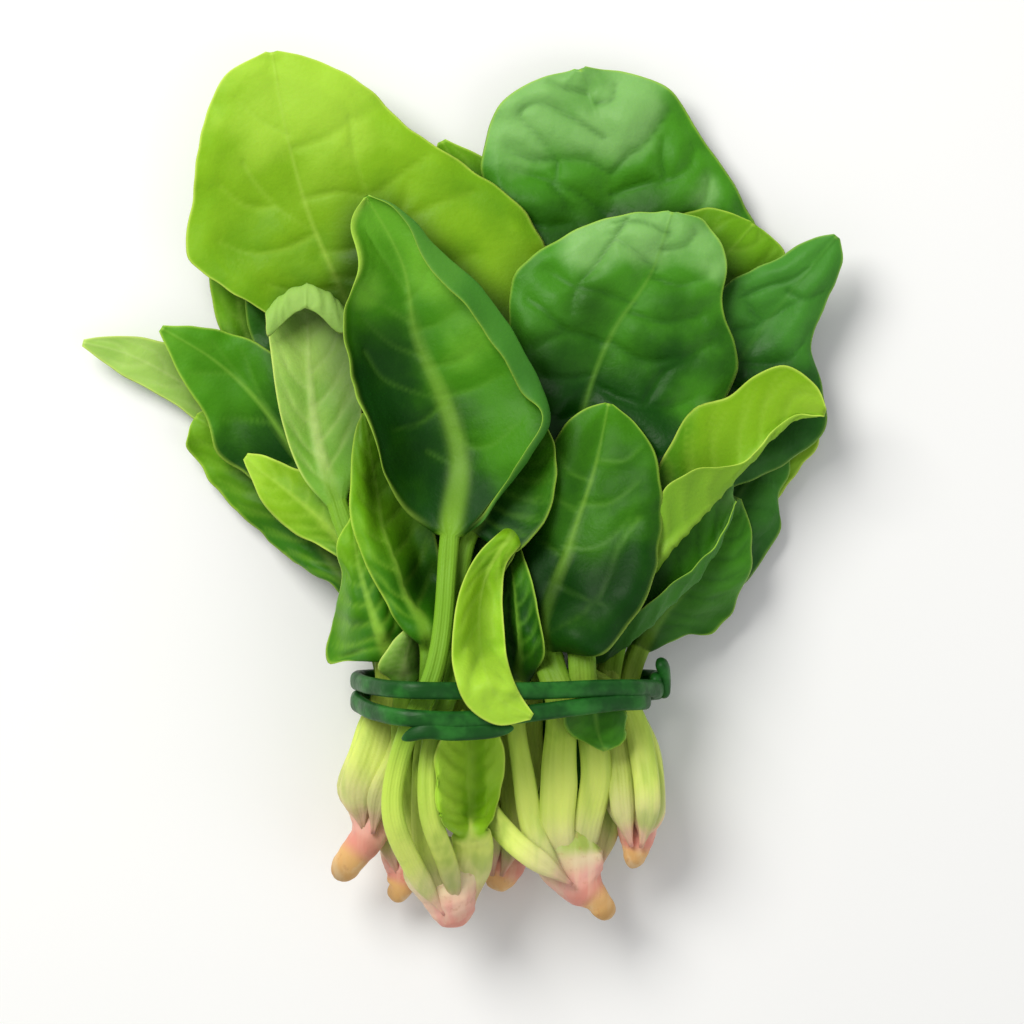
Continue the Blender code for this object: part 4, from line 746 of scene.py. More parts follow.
def mesh_object(name, verts, quads, ends, material, marks):
    """A smooth mesh from quads and two end faces, with one number per point for each mark."""
    mesh = bpy.data.meshes.new(name)
    corners = np.concatenate([quads.ravel(), *ends])
    totals = np.concatenate([np.full(len(quads), 4), [len(end) for end in ends]]).astype(int)
    mesh.vertices.add(len(verts))
    mesh.vertices.foreach_set("co", (verts * MM).astype(np.float32).ravel())
    mesh.loops.add(len(corners))
    mesh.loops.foreach_set("vertex_index", corners.astype(np.int32))
    mesh.polygons.add(len(totals))
    mesh.polygons.foreach_set("loop_start", (np.cumsum(totals) - totals).astype(np.int32))
    mesh.update(calc_edges=True)
    mesh.polygons.foreach_set("use_smooth", np.ones(len(totals), bool))
    for key, values in marks.items():
        attribute = mesh.attributes.new(key, "FLOAT", "POINT")
        attribute.data.foreach_set("value", np.asarray(values, np.float32).ravel())
    mesh.materials.append(material)
    mesh.validate()
    thing = bpy.data.objects.new(name, mesh)
    bpy.context.scene.collection.objects.link(thing)
    return thing


def ring_mesh(name, rings, material, marks):
    """A closed tube of rings. Marks have one number per ring point."""
    count, points = rings.shape[:2]
    verts = rings.reshape(-1, 3) - shift
    r, k = np.meshgrid(np.arange(count - 1), np.arange(points), indexing="ij")
    a, b = r * points + k, r * points + (k + 1) % points
    quads = np.stack([a, b, b + points, a + points], axis=-1).reshape(-1, 4)
    ends = [np.arange(points)[::-1], (count - 1) * points + np.arange(points)]
    p, q, r, s = verts[quads].transpose(1, 0, 2)
    if np.einsum("ij,ij->i", p, np.cross(q, r) + np.cross(r, s)).sum() < 0:
        quads, ends = quads[:, ::-1], [end[::-1] for end in ends]
    return mesh_object(name, verts, quads, ends, material, marks)


# ---------------------------------------------------------------- where stalks and crowns meet

SHOULDERS = {"crown_left": 2, "crown_right_centre": 2, "crown_back_left": 2}
SHOULDER = 1               # station of a crown that its stalks are rooted at, where it isn't named above


def crown_of(leaf):
    """Name of the crown a leaf's stalk stands on: the first one laid after it and near its foot."""
    x, y, _ = leaf["stalk"][0]
    for name in LEAVES[LEAVES.index(leaf):]:
        if isinstance(name, str) and name in CROWNS:
            collar = CROWNS[name][-1]
            if abs(x - collar[0]) < collar[3] + 3 and -2 < y - collar[1] < 7:
                return name
    return None


def foot_height(leaf):
    return heap.sheets[leaf["name"]][0, COLUMNS // 2, 2]


def feet_of(name):
    """Heights of the stalks that stand on a crown."""
    return [foot_height(leaf) for leaf in LEAVES if isinstance(leaf, dict) and crown_of(leaf) == name]


def crown_rise(name):
    """How far a drawn crown is lifted, to sit in the middle of its stalks."""
    return np.mean(feet_of(name)) - CROWNS[name][-1][2]


def root_point(leaf):
    """Where a leaf's stalk is rooted on its crown: the higher it lies, the further to the front."""
    x, y, _ = leaf["stalk"][0]
    name = crown_of(leaf)
    if name is None:
        return np.array([x, y + 3.0, foot_height(leaf)])
    collar, shoulder = CROWNS[name][-1], CROWNS[name][SHOULDERS.get(name, SHOULDER)]
    feet = feet_of(name)
    rank = (foot_height(leaf) - min(feet)) / (max(feet) - min(feet) + 1e-6)
    return np.array([shoulder[0] + 0.45 * (x - collar[0]), shoulder[1] + 0.5 + 2.0 * (1 - rank),
                     shoulder[2] + crown_rise(name) + shoulder[4] * (1.05 * rank - 0.6)])


# ---------------------------------------------------------------- how each leaf looks

FINE_STEP = 0.95           # spacing of a fine leaf's points, in millimetres
STALK_STEP = 1.6           # spacing of the rings along its stalk
LAST_ROW = 0.997           # place of its last row, just short of the tip, where the margins meet
EASE_ROWS = 7              # rows over which the height of a stalk is evened out
NO_EDGE = 9.0              # distance to the edge that the points of a stalk are given
VEIN_HALF = 0.76           # half the width of a side vein where it leaves the midrib
VEIN_THINS = 0.25          # how much of that it loses to its end
VEIN_FADES = 0.55          # and how much of its strength
RIB_HALF = 0.38            # half the width of a midrib at the leaf's tip
PUCKER_RISE = 3.4          # how far from a vein a pucker has risen
BLADE_HALF = 0.28          # half the thickness of a drawn blade
SHADED_STALK = 0.35        # how much of a blade's painted shade is also painted on its stalk
LOOKS = {                  # how each leaf differs from a plain one, which is below
    "upper_left_leaf": dict(pucker=0.8, hold=0.05, fresh=0.22),
    "upper_right_leaf": dict(pucker=1.6, hold=0.02, rib=0.5, rib_tint=0.1, cut=0.8,
                             highlight_spots=((24, 112, 17), (14, 97, 12), (44, 110, 12), (70, 84, 9))),
    "round_right_leaf": dict(pucker=1.5, hold=0.02, cut=0.8, rib=0.6, stem=1.15,
                             hollow_shade=((25, 33, 12), (37, 52, 7)),
                             highlight_spots=((70, 66, 10), (68, 24, 8), (36, 69, 9), (54, 72, 8))),
    "pointed_right_leaf": dict(pucker=1.3, hold=0.02, rib=0.5, rib_tint=0.3, cut=0.8),
    "lobed_right_leaf": dict(pucker=1.1, frill=1.0),
    "lower_right_leaf": dict(sheath=0.5),
    "centre_right_leaf": dict(stem=1.1, pucker=0.9, hold=0.05, hollow_shade=((30, -32, 13), (44, -24, 8))),
    "folded_right_leaf": dict(pucker=0.6),
    "large_front_leaf": dict(pucker=0.6, hold=0.36, rib=1.25, lip=(3.0, 0.0), bowl=(4.5, 0.0), frill=0.7,
                             hollow_shade=((-21, 38, 12), (-15, 10, 13)), stem=0.72, hem=(1.5, 0.6),
                             highlight_spots=((4, 38, 11), (-6, 62, 8), (-27, 54, 6), (14, 12, 13)), recess_shade=0.5),
    "curled_right_leaf": dict(pucker=0.3, frill=0.2, dive=(13.0, 0.62)),
    "far_left_leaf": dict(pucker=0.15, frill=0.2),
    "lower_left_leaf": dict(pucker=0.8, frill=1.1, wander=0.5),
    "draping_left_leaf": dict(pucker=0.8, frill=0.8),
    "tongue_leaf": dict(pucker=0.1, frill=0.1, wander=0.0, rib=0.3, green_stalk=0.7, recess_shade=0.0,
                        dive=(9.0, 0.16), fresh=0.6),
    "torn_dark_leaf": dict(pucker=0.6, wander=0.5, green_stalk=0.8, recess_shade=0.4, dive=(9.0, 0.35)),
    "crumpled_base_leaf": dict(pucker=1.5, frill=0.8, rib=0.6, recess_shade=0.0, fresh=0.8, stem=1.4),
    "broad_left_leaf": dict(sheath=1.0),
    "rolled_left_leaf": dict(pucker=0.2, hold=0.1, frill=0.0, wander=0.0, sheath=0.5, fresh=0.3),
    "lower_left_pale_leaf": dict(sheath=0.6, fresh=0.3),
    "narrow_left_leaf": dict(fresh=0.25),
    "small_right_leaf": dict(sheath=0.6),
    "cupped_centre_leaf": dict(stem=0.8),
    "dark_base_leaf": dict(pucker=1.6, green_stalk=0.5, recess_shade=0.3, fresh=0.2),
    "dark_base_leaf_right": dict(pucker=1.6, green_stalk=0.5, recess_shade=0.3, fresh=0.2),
}
PLAIN = dict(pucker=0.55,              # how far the blade bulges between veins, in millimetres
             hold=0.12, rib=1.0,       # how far up the blade the midrib keeps its width, and that width
             lip=(0.0, 0.0),           # how far the left and right margins turn up
             bowl=(0.0, 0.0),          # how far the halves rise toward their margins
             frill=0.5, wander=0.16,   # waves of the margin, out of the blade and in its plane
             green_stalk=0.0,          # how much greener the foot of the stalk is
             dive=(0.0, 1.0),          # how deep its start is hidden, and up to where along it
             stem=1.0, sheath=0.0,     # width of the stalk, and how much it widens near the crown
             hem=(0.5, 0.5),           # widths of the pale left and right rims
             cut=0.45, rib_tint=1.0,   # depth of the side veins' grooves, and how pale the midrib is
             fresh=0.0, highlight_spots=(),       # how much lighter it is, and soft spots of painted highlight (x, y, radius)
             recess_shade=1.0, hollow_shade=())   # strength of the painted shade where it lies low in the heap, and soft spots of painted shade over hollows (x, y, radius)


def ripple(x, y, size, seed):
    """Smooth irregular waves about size millimetres long, between about -1 and 1."""
    rng = np.random.RandomState(seed)
    total = 0.0
    for _ in range(7):
        way, phase = rng.uniform(0, 2 * np.pi, 2)
        k = 2 * np.pi / (size * rng.uniform(0.7, 1.5))
        total = total + np.sin(k * (np.cos(way) * x + np.sin(way) * y) + phase)
    return total / 3.0


def spots(x, y, places):
    """Soft round spots, each given by its place and radius, added up."""
    return sum(np.exp(-((x - sx)**2 + (y - sy)**2) / size**2) for sx, sy, size in places)


def regular_veins(sheet, s):
    """Side veins of a plain leaf, each with one fork, as runs of (row, column) places on its sheet."""
    start = np.searchsorted(s, 1e-6)
    rows, middle = len(s) - start, (sheet.shape[1] - 1) / 2
    runs = []
    u = np.linspace(0, 1, 9)
    for at in (0.10, 0.22, 0.35, 0.48, 0.61, 0.73, 0.85):
        for sign in (-1, 1):
            base = at + 0.03 * sign
            climb = 0.19 * (1 - 0.5 * at)
            row = np.clip(base + climb * u**1.25, 0, 0.97)
            runs.append((start + row * (rows - 1), middle * (1 + sign * 0.9 * u)))
            fork_row = np.clip(row[4] + 0.10 * u, 0, 0.97)
            runs.append((start + fork_row * (rows - 1), middle * (1 + sign * (0.45 + 0.32 * u**1.3))))
    return runs


def on_sheet(sheet, row, column):
    """Points of a sheet at places between its rows and columns."""
    i = np.clip(row.astype(int), 0, sheet.shape[0] - 2)
    j = np.clip(column.astype(int), 0, sheet.shape[1] - 2)
    a, b = (row - i)[:, None], (column - j)[:, None]
    return ((sheet[i, j] * (1 - b) + sheet[i, j + 1] * b) * (1 - a)
            + (sheet[i + 1, j] * (1 - b) + sheet[i + 1, j + 1] * b) * a)


def distance_to(points, lines):
    """Distance from each point to the nearest of the polylines, and how far along it that is."""
    best = np.full(len(points), 1e9)
    along = np.zeros(len(points))
    for line in lines:
        count = len(line) - 1
        for n, (a, b) in enumerate(zip(line[:-1], line[1:])):
            d = b - a
            f = np.clip((points - a) @ d / (d @ d + 1e-9), 0, 1)
            gap = np.linalg.norm(points - a - f[:, None] * d, axis=1)
            near = gap < best
            best = np.where(near, gap, best)
            along = np.where(near, (n + f) / count, along)
    return best, along


class FineLeaf:
    """A leaf redrawn at fine spacing on its own coarse sheet.

    Its sheet has rows from the root to the tip, and columns from the left margin to the right.
    t runs from 0 to 1 along the leaf, s along its blade, and v from -1 to 1 across it.
    """

    def __init__(self, leaf, coarse, seed):
        self.name, self.seed = leaf["name"], seed
        self.look = {**PLAIN, **LOOKS.get(self.name, {})}
        rooted = dict(leaf, stalk=[tuple(root_point(leaf))] + leaf["stalk"])
        self.opens = opening(rooted)
        self.width = np.linalg.norm(np.diff(coarse, axis=1), axis=2).sum(axis=1).max()
        length = np.linalg.norm(np.diff(coarse[:, COLUMNS // 2], axis=0), axis=1).sum()
        stalk_rows = int(self.opens * length / STALK_STEP)
        blade_rows = int((1 - self.opens) * length / FINE_STEP)
        self.columns = 2 * int(np.clip(self.width / FINE_STEP / 2, 9, 60)) + 1
        self.t = np.concatenate([np.linspace(0, self.opens, stalk_rows, endpoint=False),
                                 np.linspace(self.opens, LAST_ROW, blade_rows)])
        u = np.linspace(-1, 1, self.columns)
        self.v = u * (1.25 - 0.25 * u * u)      # half as far apart at the margins as on average
        self.far = np.abs(self.v)[None, :]
        self.side = np.where(self.v < 0, 0, 1)
        self.sheet, _, self.radius, self.s = spread(rooted, self.t, self.v)

        axis = np.array(rooted["stalk"] + with_z(rooted["mid"]), float)
        reach = np.linalg.norm(axis[1] - axis[0])
        share = reach / np.linalg.norm(np.diff(axis, axis=0), axis=1).sum()
        self.set_heights(leaf, coarse, share, axis[0, 2])
        self.set_stalk_width(self.t / share * reach)
        self.wander_edges()
        self.measure()

    def middle(self):
        """The line of the midrib."""
        return self.sheet[:, self.columns // 2]

    def set_heights(self, leaf, coarse, share, root_z):
        """Take the coarse sheet's heights, with the stalk evened out and led to its root."""
        laid = (self.t - share) / (1 - share)
        across = -np.cos(np.linspace(0, np.pi, COLUMNS))
        height = through(across, through(coarse_rows(leaf), coarse[:, :, 2], laid).T, self.v).T
        sink = smooth(1 - self.t / share)[:, None]
        depth, up_to = self.look["dive"]
        dive = depth * smooth(2 - 2 * laid / up_to)[:, None]
        self.sheet[:, :, 2] = height + (root_z - height) * sink - dive

        window = np.hanning(2 * EASE_ROWS + 3)[1:-1]
        line = self.middle()[:, 2]
        eased = np.convolve(np.pad(line, EASE_ROWS, "edge"), window / window.sum(), "valid")
        on_stalk = smooth((self.opens - self.t) / (0.12 * self.opens))
        self.sheet[:, :, 2] += ((eased - line) * on_stalk)[:, None]

    def set_stalk_width(self, from_root):
        """Narrow the stalk to its root, and widen it where it sheathes the ones inside it.

        A plain stalk is 0.2 of its width at the root, 1.2 of it 13 mm further and 1 from 48 mm on.
        """
        width = 0.22 + 0.98 * smooth((from_root + 1) / 14) - 0.2 * smooth((from_root - 24) / 24)
        width = self.look["stem"] * width * (
            1 + self.look["sheath"] * smooth(from_root / 8) * smooth((48 - from_root) / 20))
        plan, middle = self.sheet[:, :, :2], self.middle()[:, None, :2]
        self.sheet[:, :, :2] = middle + (plan - middle) * np.where(self.s > 0, 1, width)[:, None, None]
        self.radius = self.radius * np.where(self.s > 0, 1, width**0.5)

    def wander_edges(self):
        """Let the margin wander a little in plan, as grown ones do."""
        open_up = smooth(self.s * 5)[:, None] * smooth((1 - self.s) * 12)[:, None]
        wander = open_up * self.far**6 * self.look["wander"]
        x, y = self.sheet[:, :, 0], self.sheet[:, :, 1]
        x += wander * ripple(x, y, 9, self.seed)
        y += wander * ripple(x, y, 9, self.seed + 1)

    def measure(self):
        """Distances to the midrib, the margin and the side veins, and how strong each vein is."""
        middle, tip = self.middle()[:, None], self.middle()[-1]
        self.to_mid = np.linalg.norm(self.sheet - middle, axis=2)
        edges = (self.sheet[:, :1], self.sheet[:, -1:], tip)
        nearest = np.min([np.linalg.norm(self.sheet - edge, axis=2) for edge in edges], axis=0)
        self.to_edge = np.where(self.s[:, None] > 0, nearest, NO_EDGE)

        points = self.sheet.reshape(-1, 3)
        if self.name in VEINS:
            points = points[:, :2]
            lines = [curve(line, np.linspace(0, 1, 4 * len(line))) for line in VEINS[self.name]]
        else:
            lines = [on_sheet(self.sheet, *places) for places in regular_veins(self.sheet, self.s)]
        gap, run = distance_to(points, lines)
        self.to_vein, run = gap.reshape(self.to_mid.shape), run.reshape(self.to_mid.shape)
        self.vein = np.exp(-(self.to_vein / (VEIN_HALF - VEIN_THINS * run))**2) * (1 - VEIN_FADES * run)

        hold = self.look["hold"]
        taper = (1 - smooth((self.s - hold) / (1 - hold)))**1.6
        self.rib_width = (self.look["rib"] * self.radius * taper + RIB_HALF)[:, None]
        self.rib = np.exp(-(self.to_mid / self.rib_width)**3)
        self.blade = smooth(self.s * 5)[:, None]

    def relief(self):
        """How far the blade stands out of its smooth sheet."""
        look, seed = self.look, self.seed
        x, y = self.sheet[:, :, 0], self.sheet[:, :, 1]
        depth = look["pucker"]
        quilt = (depth * (1 - np.exp(-(self.to_vein / PUCKER_RISE)**1.4))
                 * (1 - np.exp(-(self.to_mid / PUCKER_RISE)**2)) * smooth(self.to_edge / 6))
        waves = (0.8 * ripple(x, y, 22, seed + 2) + 0.12 * ripple(x, y, 9, seed + 3)
                 + 0.04 * ripple(x, y, 4, seed + 4))
        frill = look["frill"] * ripple(x, y, 11, seed + 5) * (1 - smooth(self.to_edge / 9))
        groove = look["cut"] * self.vein * min(1, self.width / 50)
        swell = np.sin(np.pi * self.s)[:, None]
        bowl = np.array(look["bowl"])[self.side][None, :] * self.far**1.5 * swell
        lip = np.array(look["lip"])[self.side][None, :] * (1 - smooth(self.to_edge / 4.5)) * swell
        return self.blade * (quilt - 0.5 * depth + 0.8 * depth * waves + frill - groove + bowl + lip)

    def skin(self):
        """Rings round the leaf: a rounded, finely ribbed stalk with a channel, then the thin blade."""
        rounded = np.sqrt(np.clip(1 - self.v**2, 0, 1))[None, :]
        ribs = 1 + 0.02 * np.cos(7 * np.pi * self.v)[None, :] * (1 - self.blade)
        channel = 1 - 0.22 * np.exp(-(self.v / 0.4)**2)[None, :]
        stalk = self.radius[:, None] * rounded * (1 - self.blade)
        thin = BLADE_HALF * np.sqrt(rounded)
        over = stalk * channel * ribs + self.blade * (thin + 0.34 * self.rib_width * self.rib)
        under = stalk * ribs + self.blade * (thin + 0.5 * self.rib_width * self.rib + 0.2 * self.vein)
        lift = self.relief()
        return wrap(self.sheet, over + lift, under - lift)

    def marks(self):
        """The numbers that the leaf's material reads at each point of its skin."""
        look, s = self.look, self.s[:, None]
        x, y, z = self.sheet.transpose(2, 0, 1)
        # painted shade: darker where the leaf lies below the mean height of the heap round it, and in soft
        # spots over its hollows
        shade = look["recess_shade"] * smooth((sample(surroundings, x, y) - z + 2) / 15)
        shade = (shade + 0.75 * spots(x, y, look["hollow_shade"])) * np.where(s > 0, 1, SHADED_STALK)
        steps = np.linalg.norm(np.diff(self.middle(), axis=0), axis=1)
        grown = np.concatenate([[0], np.cumsum(steps)])[:, None]
        on_top = {
            "vein": self.vein * self.blade,
            "rib": np.clip(look["rib_tint"] * self.rib * self.blade * (1.1 - 0.75 * s), 0, 1),
            "rim": np.exp(-(self.to_edge / np.array(look["hem"])[self.side][None, :])**2) * self.blade,
            # lighter toward the tip, plus painted highlights in soft spots
            "tipward_and_highlights": s + look["fresh"] + 0.6 * spots(x, y, look["highlight_spots"]),
            "blade": (s > 0) * (1 - self.rib * (1 - smooth(4 * s))),
            "grown": grown / 100 + look["green_stalk"],
            "shade": np.clip(shade, 0, 1),
        }
        marks = {"below": np.zeros((len(s), 2 * self.columns - 2))}
        marks["below"][:, self.columns:] = 1
        for key, values in on_top.items():
            values = np.broadcast_to(values, self.to_mid.shape)
            marks[key] = np.concatenate([values, values[:, -2:0:-1]], axis=1)
        return marks


# ---------------------------------------------------------------- materials

class Nodes:
    """Short names for building a material's node tree. Colours are hex strings."""

    def __init__(self, name):
        self.material = bpy.data.materials.new(name)
        self.material.use_nodes = True
        self.tree = self.material.node_tree
        self.shader = self.tree.nodes["Principled BSDF"]
        self.place = self.tree.nodes.new("ShaderNodeTexCoord").outputs["Object"]

    def put(self, socket, value):
        """Link another node's output to a socket, or set its value."""
        if hasattr(value, "links"):
            self.tree.links.new(value, socket)
        elif isinstance(value, str):
            socket.default_value = (*colour(value), 1)
        else:
            socket.default_value = value

    def surface(self, sockets):
        """Fill in the shader's sockets by name, and return the finished material."""
        for name, value in sockets.items():
            self.put(self.shader.inputs[name], value)
        return self.material

    def mark(self, name):
        """A number stored at the mesh's points."""
        node = self.tree.nodes.new("ShaderNodeAttribute")
        node.attribute_name = name
        return node.outputs["Fac"]

    def noise(self, scale, detail=3.0, rough=0.55, stretch=(1, 1, 1)):
        mapping = self.tree.nodes.new("ShaderNodeMapping")
        mapping.inputs["Scale"].default_value = stretch
        self.tree.links.new(self.place, mapping.inputs["Vector"])
        node = self.tree.nodes.new("ShaderNodeTexNoise")
        node.inputs["Scale"].default_value = scale
        node.inputs["Detail"].default_value = detail
        node.inputs["Roughness"].default_value = rough
        self.tree.links.new(mapping.outputs["Vector"], node.inputs["Vector"])
        return node.outputs["Fac"]

    def span(self, value, low, high, to_low=0.0, to_high=1.0):
        """The value's range from low to high, smoothly turned into another range."""
        node = self.tree.nodes.new("ShaderNodeMapRange")
        node.interpolation_type = "SMOOTHSTEP"
        self.put(node.inputs["Value"], value)
        for key, number in (("From Min", low), ("From Max", high), ("To Min", to_low), ("To Max", to_high)):
            node.inputs[key].default_value = number
        return node.outputs["Result"]

    def math(self, kind, a, b):
        node = self.tree.nodes.new("ShaderNodeMath")
        node.operation = kind
        self.put(node.inputs[0], a)
        self.put(node.inputs[1], b)
        return node.outputs[0]

    def times(self, a, b):
        return self.math("MULTIPLY", a, b)

    def mix(self, factor, a, b):
        node = self.tree.nodes.new("ShaderNodeMix")
        node.data_type = "RGBA"
        self.put(node.inputs["Factor"], factor)
        self.put(node.inputs["A"], a)
        self.put(node.inputs["B"], b)
        return node.outputs["Result"]

    def ramp(self, value, stops):
        node = self.tree.nodes.new("ShaderNodeValToRGB")
        ramp = node.color_ramp
        ramp.interpolation = "EASE"
        for at, _ in stops[2:]:
            ramp.elements.new(at)
        for element, (at, code) in zip(ramp.elements, stops):
            element.position = at
            element.color = (*colour(code), 1)
        self.put(node.inputs["Fac"], value)
        return node.outputs["Color"]

    def bump(self, height, distance, strength=1.0, base=None):
        node = self.tree.nodes.new("ShaderNodeBump")
        node.inputs["Strength"].default_value = strength
        node.inputs["Distance"].default_value = distance
        self.put(node.inputs["Height"], height)
        if base is not None:
            self.tree.links.new(base, node.inputs["Normal"])
        return node.outputs["Normal"]


def colour(code):
    """Linear colour from a display colour written as a hex string."""
    return tuple(((int(code[i:i + 2], 16) / 255 + 0.055) / 1.055)**2.4 for i in (0, 2, 4))


# Colours of a stalk by distance from its root, in tenths of a metre, and of a crown from tip to collar.
STALK_STOPS = [(0.0, "eaa898"), (0.045, "eac0a4"), (0.1, "e2dc98"), (0.22, "dcea74"), (0.44, "bcd854"),
               (0.7, "7aac2c")]
CROWN_STOPS = [(0.0, "c89a58"), (0.2, "e0b070"), (0.34, "e09482"), (0.5, "e8ac9c"), (0.66, "e2cca4"),
               (0.82, "a8bc58")]


def leaf_material(name, deep, light, bright, vein, groove, rim, back, gloss=0.5):
    """Blade green, darker toward its base, with veins, a pale rim, painted highlights and painted shade,
    running down into a paler stalk.
    """
    n = Nodes(name)
    patches = n.math("ADD", n.times(n.noise(24, 2), 0.8), n.times(n.noise(120, 3), 0.2))
    # the ramp's bright colour is reached mostly where the painted highlights are
    lightness = n.math("ADD", n.span(patches, 0.3, 0.7, -0.25, 0.25),
                       n.span(n.mark("tipward_and_highlights"), 0.0, 1.6, 0.0, 1.0))
    blade = n.ramp(lightness, [(0.0, deep), (0.6, light), (1.0, bright)])
    # side veins: a pale tint on the lighter greens, painted shade in their grooves on the dark and bluish
    # greens
    blade = n.mix(n.times(n.mark("vein"), 0.45), blade, groove)
    blade = n.mix(n.times(n.mark("rim"), 0.9), blade, rim)
    blade = n.mix(n.times(n.mark("rib"), 0.85), blade, vein)
    grain = n.span(n.noise(160, 2, stretch=(1, 0.08, 1)), 0.4, 0.7)
    stalk = n.mix(n.times(grain, 0.45), n.ramp(n.mark("grown"), STALK_STOPS), "7aa82c")
    skin = n.mix(n.mark("blade"), stalk, blade)
    skin = n.mix(n.times(n.times(n.mark("below"), n.mark("blade")), 0.75), skin, back)
    # painted shade: the skin turns near-black green where the shade mark is high
    skin = n.mix(n.times(n.mark("shade"), 0.8), skin, "0a3002")
    grainy = n.bump(n.noise(800, 3), 0.0001)
    return n.surface({
        "Base Color": skin,
        "Roughness": n.span(n.noise(70, 3), 0.3, 0.7, gloss - 0.05, gloss + 0.1),
        "Normal": n.bump(n.noise(200, 3, 0.6), 0.00022, 0.6, grainy),
        "Specular IOR Level": 0.14,
        "Subsurface Weight": 0.06,
        "Subsurface Radius": (0.6, 1.0, 0.1),
        "Subsurface Scale": 0.0015,
    })


def crown_material(name):
    """Tan taproot and pink crown, streaked along and speckled with brown."""
    n = Nodes(name)
    streaks = n.span(n.noise(260, 3, stretch=(1, 0.12, 1)), 0.45, 0.7)
    specks = n.span(n.noise(420, 4), 0.56, 0.72)
    skin = n.mix(n.times(streaks, 0.35), n.ramp(n.mark("along"), CROWN_STOPS), "ecdcb8")
    return n.surface({
        "Base Color": n.mix(n.times(specks, 0.3), skin, "b07448"),
        "Roughness": n.span(n.noise(90, 2), 0.3, 0.7, 0.45, 0.6),
        "Normal": n.bump(n.noise(500, 4, stretch=(1, 0.3, 1)), 0.00025, 0.7),
        "Specular IOR Level": 0.3,
        "Subsurface Weight": 0.15,
        "Subsurface Radius": (1.0, 0.6, 0.4),
        "Subsurface Scale": 0.002,
    })


def tie_material(name):
    """Soft green cord, a little uneven in colour."""
    n = Nodes(name)
    return n.surface({
        "Base Color": n.mix(n.span(n.noise(140, 3), 0.35, 0.7), "144a16", "2a7026"),
        "Roughness": n.span(n.noise(300, 2), 0.3, 0.7, 0.36, 0.5),
        "Normal": n.bump(n.noise(700, 3, stretch=(0.2, 1, 1)), 0.00015),
        "Specular IOR Level": 0.2,
    })


def floor_material(name):
    """Nearly white, matt."""
    n = Nodes(name)
    return n.surface({
        "Base Color": n.mix(n.noise(4, 2), (0.93, 0.93, 0.93, 1), (0.95, 0.95, 0.95, 1)),
        "Roughness": 0.9,
    })


# ---------------------------------------------------------------- the pieces

def finish_piece(name, rings, material, marks):
    """Add one piece to the scene in the place of its node in the part."""
    thing = ring_mesh(name + "_skin", rings, material, marks)
    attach(thing, "root")
    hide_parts(name)


def draw_leaves():
    """Every leaf in its own green, each with its own seed."""
    greens = {
        LIME: leaf_material(
            "lime_blade", deep="4e8a06", light="84b61a", bright="a4d03a",
            vein="a8d048", groove="a0cc40", rim="c8e45c", back="84b430"),
        BRIGHT: leaf_material(
            "bright_blade", deep="327204", light="6aa412", bright="8cc034",
            vein="92c240", groove="88bc36", rim="b4d84c", back="7cae38"),
        MID: leaf_material(
            "mid_blade", deep="0e4002", light="44880c", bright="6eb02c",
            vein="84b83c", groove="64a02c", rim="a8d04a", back="3e7a2a"),
        # dark side veins here are painted shade in their grooves, and the bright colour is a painted sheen
        DARK: leaf_material(
            "dark_blade", deep="104404", light="468c1c", bright="80b662",
            vein="70a838", groove="185206", rim="a0cc48", back="3e7a28", gloss=0.44),
        # dark side veins here are painted shade in their grooves, and the bright colour is a painted sheen
        BLUISH: leaf_material(
            "bluish_blade", deep="164e0c", light="468a2c", bright="68a850",
            vein="649c3c", groove="1c5a10", rim="8cb84a", back="427a34", gloss=0.44),
        PALE: leaf_material(
            "pale_blade", deep="72aa34", light="a6ce60", bright="c4e084",
            vein="c0dc80", groove="b8d878", rim="c8e070", back="86b44a"),
    }
    for n, leaf in enumerate(leaf for leaf in LEAVES if isinstance(leaf, dict)):
        fine = FineLeaf(leaf, heap.sheets[leaf["name"]], 20 * n + 3)
        finish_piece(leaf["name"], fine.skin(), greens[leaf["green"]], fine.marks())


PINK_TIPS = {"crown_left_centre": 0.32}     # where along the colours a crown's tip starts; others at 0


def draw_crown(name, stations, material):
    """A crown and its taproot, with a core that runs on up between the stalks and sinks below them."""
    x, y, z, w, h = stations[-1]
    core = stations + [(x, y + 10, z - 1, 0.7 * w, 0.6 * h)]
    rise = crown_rise(name)
    lowered = [(x, y, z + rise - 0.75 * h * f, w * (1 - 0.1 * f), h * (0.95 - 0.5 * f))
               for (x, y, z, w, h), f in zip(core, np.linspace(0, 1, len(core)))]
    rings = crown_rings(lowered, 64, 72)
    count, points = rings.shape[:2]
    along = np.linspace(0, 1, count)[:, None]
    turn = np.linspace(0, 2 * np.pi, points, endpoint=False)[None, :]
    folds = 0.07 * smooth((along - 0.3) * 3) * np.abs(np.sin(3.5 * turn + 2.2 * along))
    root_rings = 0.012 * (1 - smooth((along - 0.35) * 3)) * np.sin(along * 60 + 2 * np.sin(turn))
    knobs = 0.05 * np.cos(2 * turn + 9 * along + 1) + 0.04 * np.cos(3 * turn - 14 * along)
    round_top = np.sqrt(1.02 - np.clip((along - 0.72) / 0.28, 0, 1)**2)
    round_tip = np.sqrt(1.03 - np.clip(1 - along / 0.13, 0, 1)**2)
    centre = rings.mean(axis=1, keepdims=True)
    size = (1 - folds + root_rings + knobs) * round_top * round_tip
    first = PINK_TIPS.get(name, 0.0)
    marks = {"along": first + (1 - first) * along + 0 * turn}
    finish_piece(name, centre + (rings - centre) * size[:, :, None], material, marks)


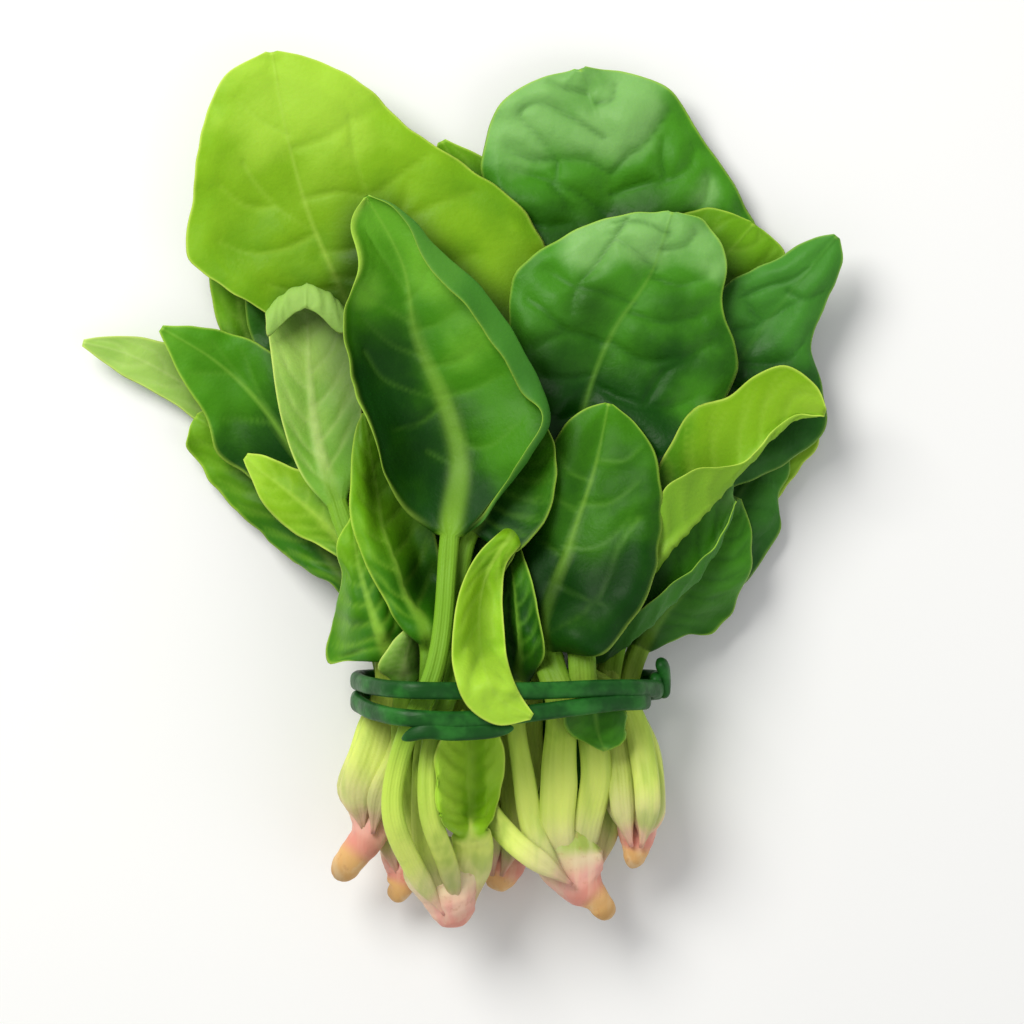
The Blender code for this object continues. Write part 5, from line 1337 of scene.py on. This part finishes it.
def band_rings(path, across, thick, taper):
    """A soft-edged flat band swept along a path, narrowing over its two ends."""
    t = np.linspace(0, 1, 9 * len(path))
    p = curve(path, t)
    ahead = np.gradient(p, axis=0)
    ahead /= np.linalg.norm(ahead, axis=1)[:, None]
    out = p - np.array([BAND_CENTRE[0], 0, BAND_CENTRE[1]])
    out[:, 1] = 0
    out -= ahead * (out * ahead).sum(axis=1)[:, None]
    out /= np.linalg.norm(out, axis=1)[:, None]
    wide = np.cross(ahead, out)
    turn = np.linspace(0, 2 * np.pi, 24, endpoint=False)
    c, s = (np.sign(wave) * np.abs(wave)**0.75 for wave in (np.cos(turn), np.sin(turn)))
    ends = np.sqrt(np.clip(1 - (1 - np.minimum(t, 1 - t) / taper).clip(0)**2, 0.03, 1))[:, None]
    return (p[:, None] + out[:, None] * (thick * ends * c)[:, :, None]
            + wide[:, None] * (across * ends * s)[:, :, None])


TIE = {                    # width over the cord's, share of the length that tapers, and shift
    "tie_cord": (1.12, 0.006, (0, 0, 0)),
    "tie_tail": (1.05, 0.25, (0, 1.0, 0)),
    "tie_knot": (1.2, 0.2, (-2.8, -1.5, 0)),
}


def draw_tie(material):
    """The three pieces of the cord."""
    for name, (wide, taper, nudge) in TIE.items():
        rings = band_rings(heap.sheets[name] + nudge, CORD * wide, CORD * 0.82, taper)
        finish_piece(name, rings, material, {})


draw_leaves()
crown_skin = crown_material("crown_skin")
for name, stations in CROWNS.items():
    draw_crown(name, stations, crown_skin)
draw_tie(tie_material("tie_skin"))


# ---------------------------------------------------------------- floor, light, camera

def add(name, data):
    """Put data in the scene as an object."""
    thing = bpy.data.objects.new(name, data)
    bpy.context.scene.collection.objects.link(thing)
    return thing


def area_light(name, place, target, size, watts, tint):
    """A round soft light at a place, turned toward a target. Lengths are metres."""
    data = bpy.data.lights.new(name, "AREA")
    data.shape = "DISK"
    data.size, data.energy, data.color = size, watts, tint
    lamp = add(name, data)
    lamp.location = place
    lamp.rotation_euler = (Vector(target) - Vector(place)).to_track_quat("-Z", "Y").to_euler()


floor_mesh = bpy.data.meshes.new("floor")
floor_mesh.from_pydata([(-3, -3, 0), (3, -3, 0), (3, 3, 0), (-3, 3, 0)], [], [(0, 1, 2, 3)])
floor_mesh.materials.append(floor_material("floor_paint"))
floor = add("floor", floor_mesh)

area_light("key", (-0.55, 0.60, 0.95), (0, 0, 0.02), 0.75, 13.4, (1.0, 0.99, 0.94))
area_light("fill", (0.9, -0.5, 0.8), (0, 0, 0.02), 1.0, 2.5, (0.97, 0.99, 1.0))

world = bpy.data.worlds.new("studio")
world.use_nodes = True
world.node_tree.nodes["Background"].inputs["Color"].default_value = (1, 1, 1, 1)
world.node_tree.nodes["Background"].inputs["Strength"].default_value = 0.42
bpy.context.scene.world = world
bpy.context.scene.view_settings.view_transform = "Standard"

FRAME_WIDTH = 0.2867       # width in view, in metres, at the height of the upper leaves
UPPER_LEAVES = 0.03        # that height
AIM = (0.0143, -0.0062)    # point of the floor below the camera
LENS, SENSOR = 150.0, 36.0
view = bpy.data.cameras.new("camera")
view.lens, view.sensor_width = LENS, SENSOR
camera = add("camera", view)
camera.location = (*AIM, UPPER_LEAVES + FRAME_WIDTH * LENS / SENSOR)
camera.rotation_euler = Euler((0, 0, 0))
bpy.context.scene.camera = camera
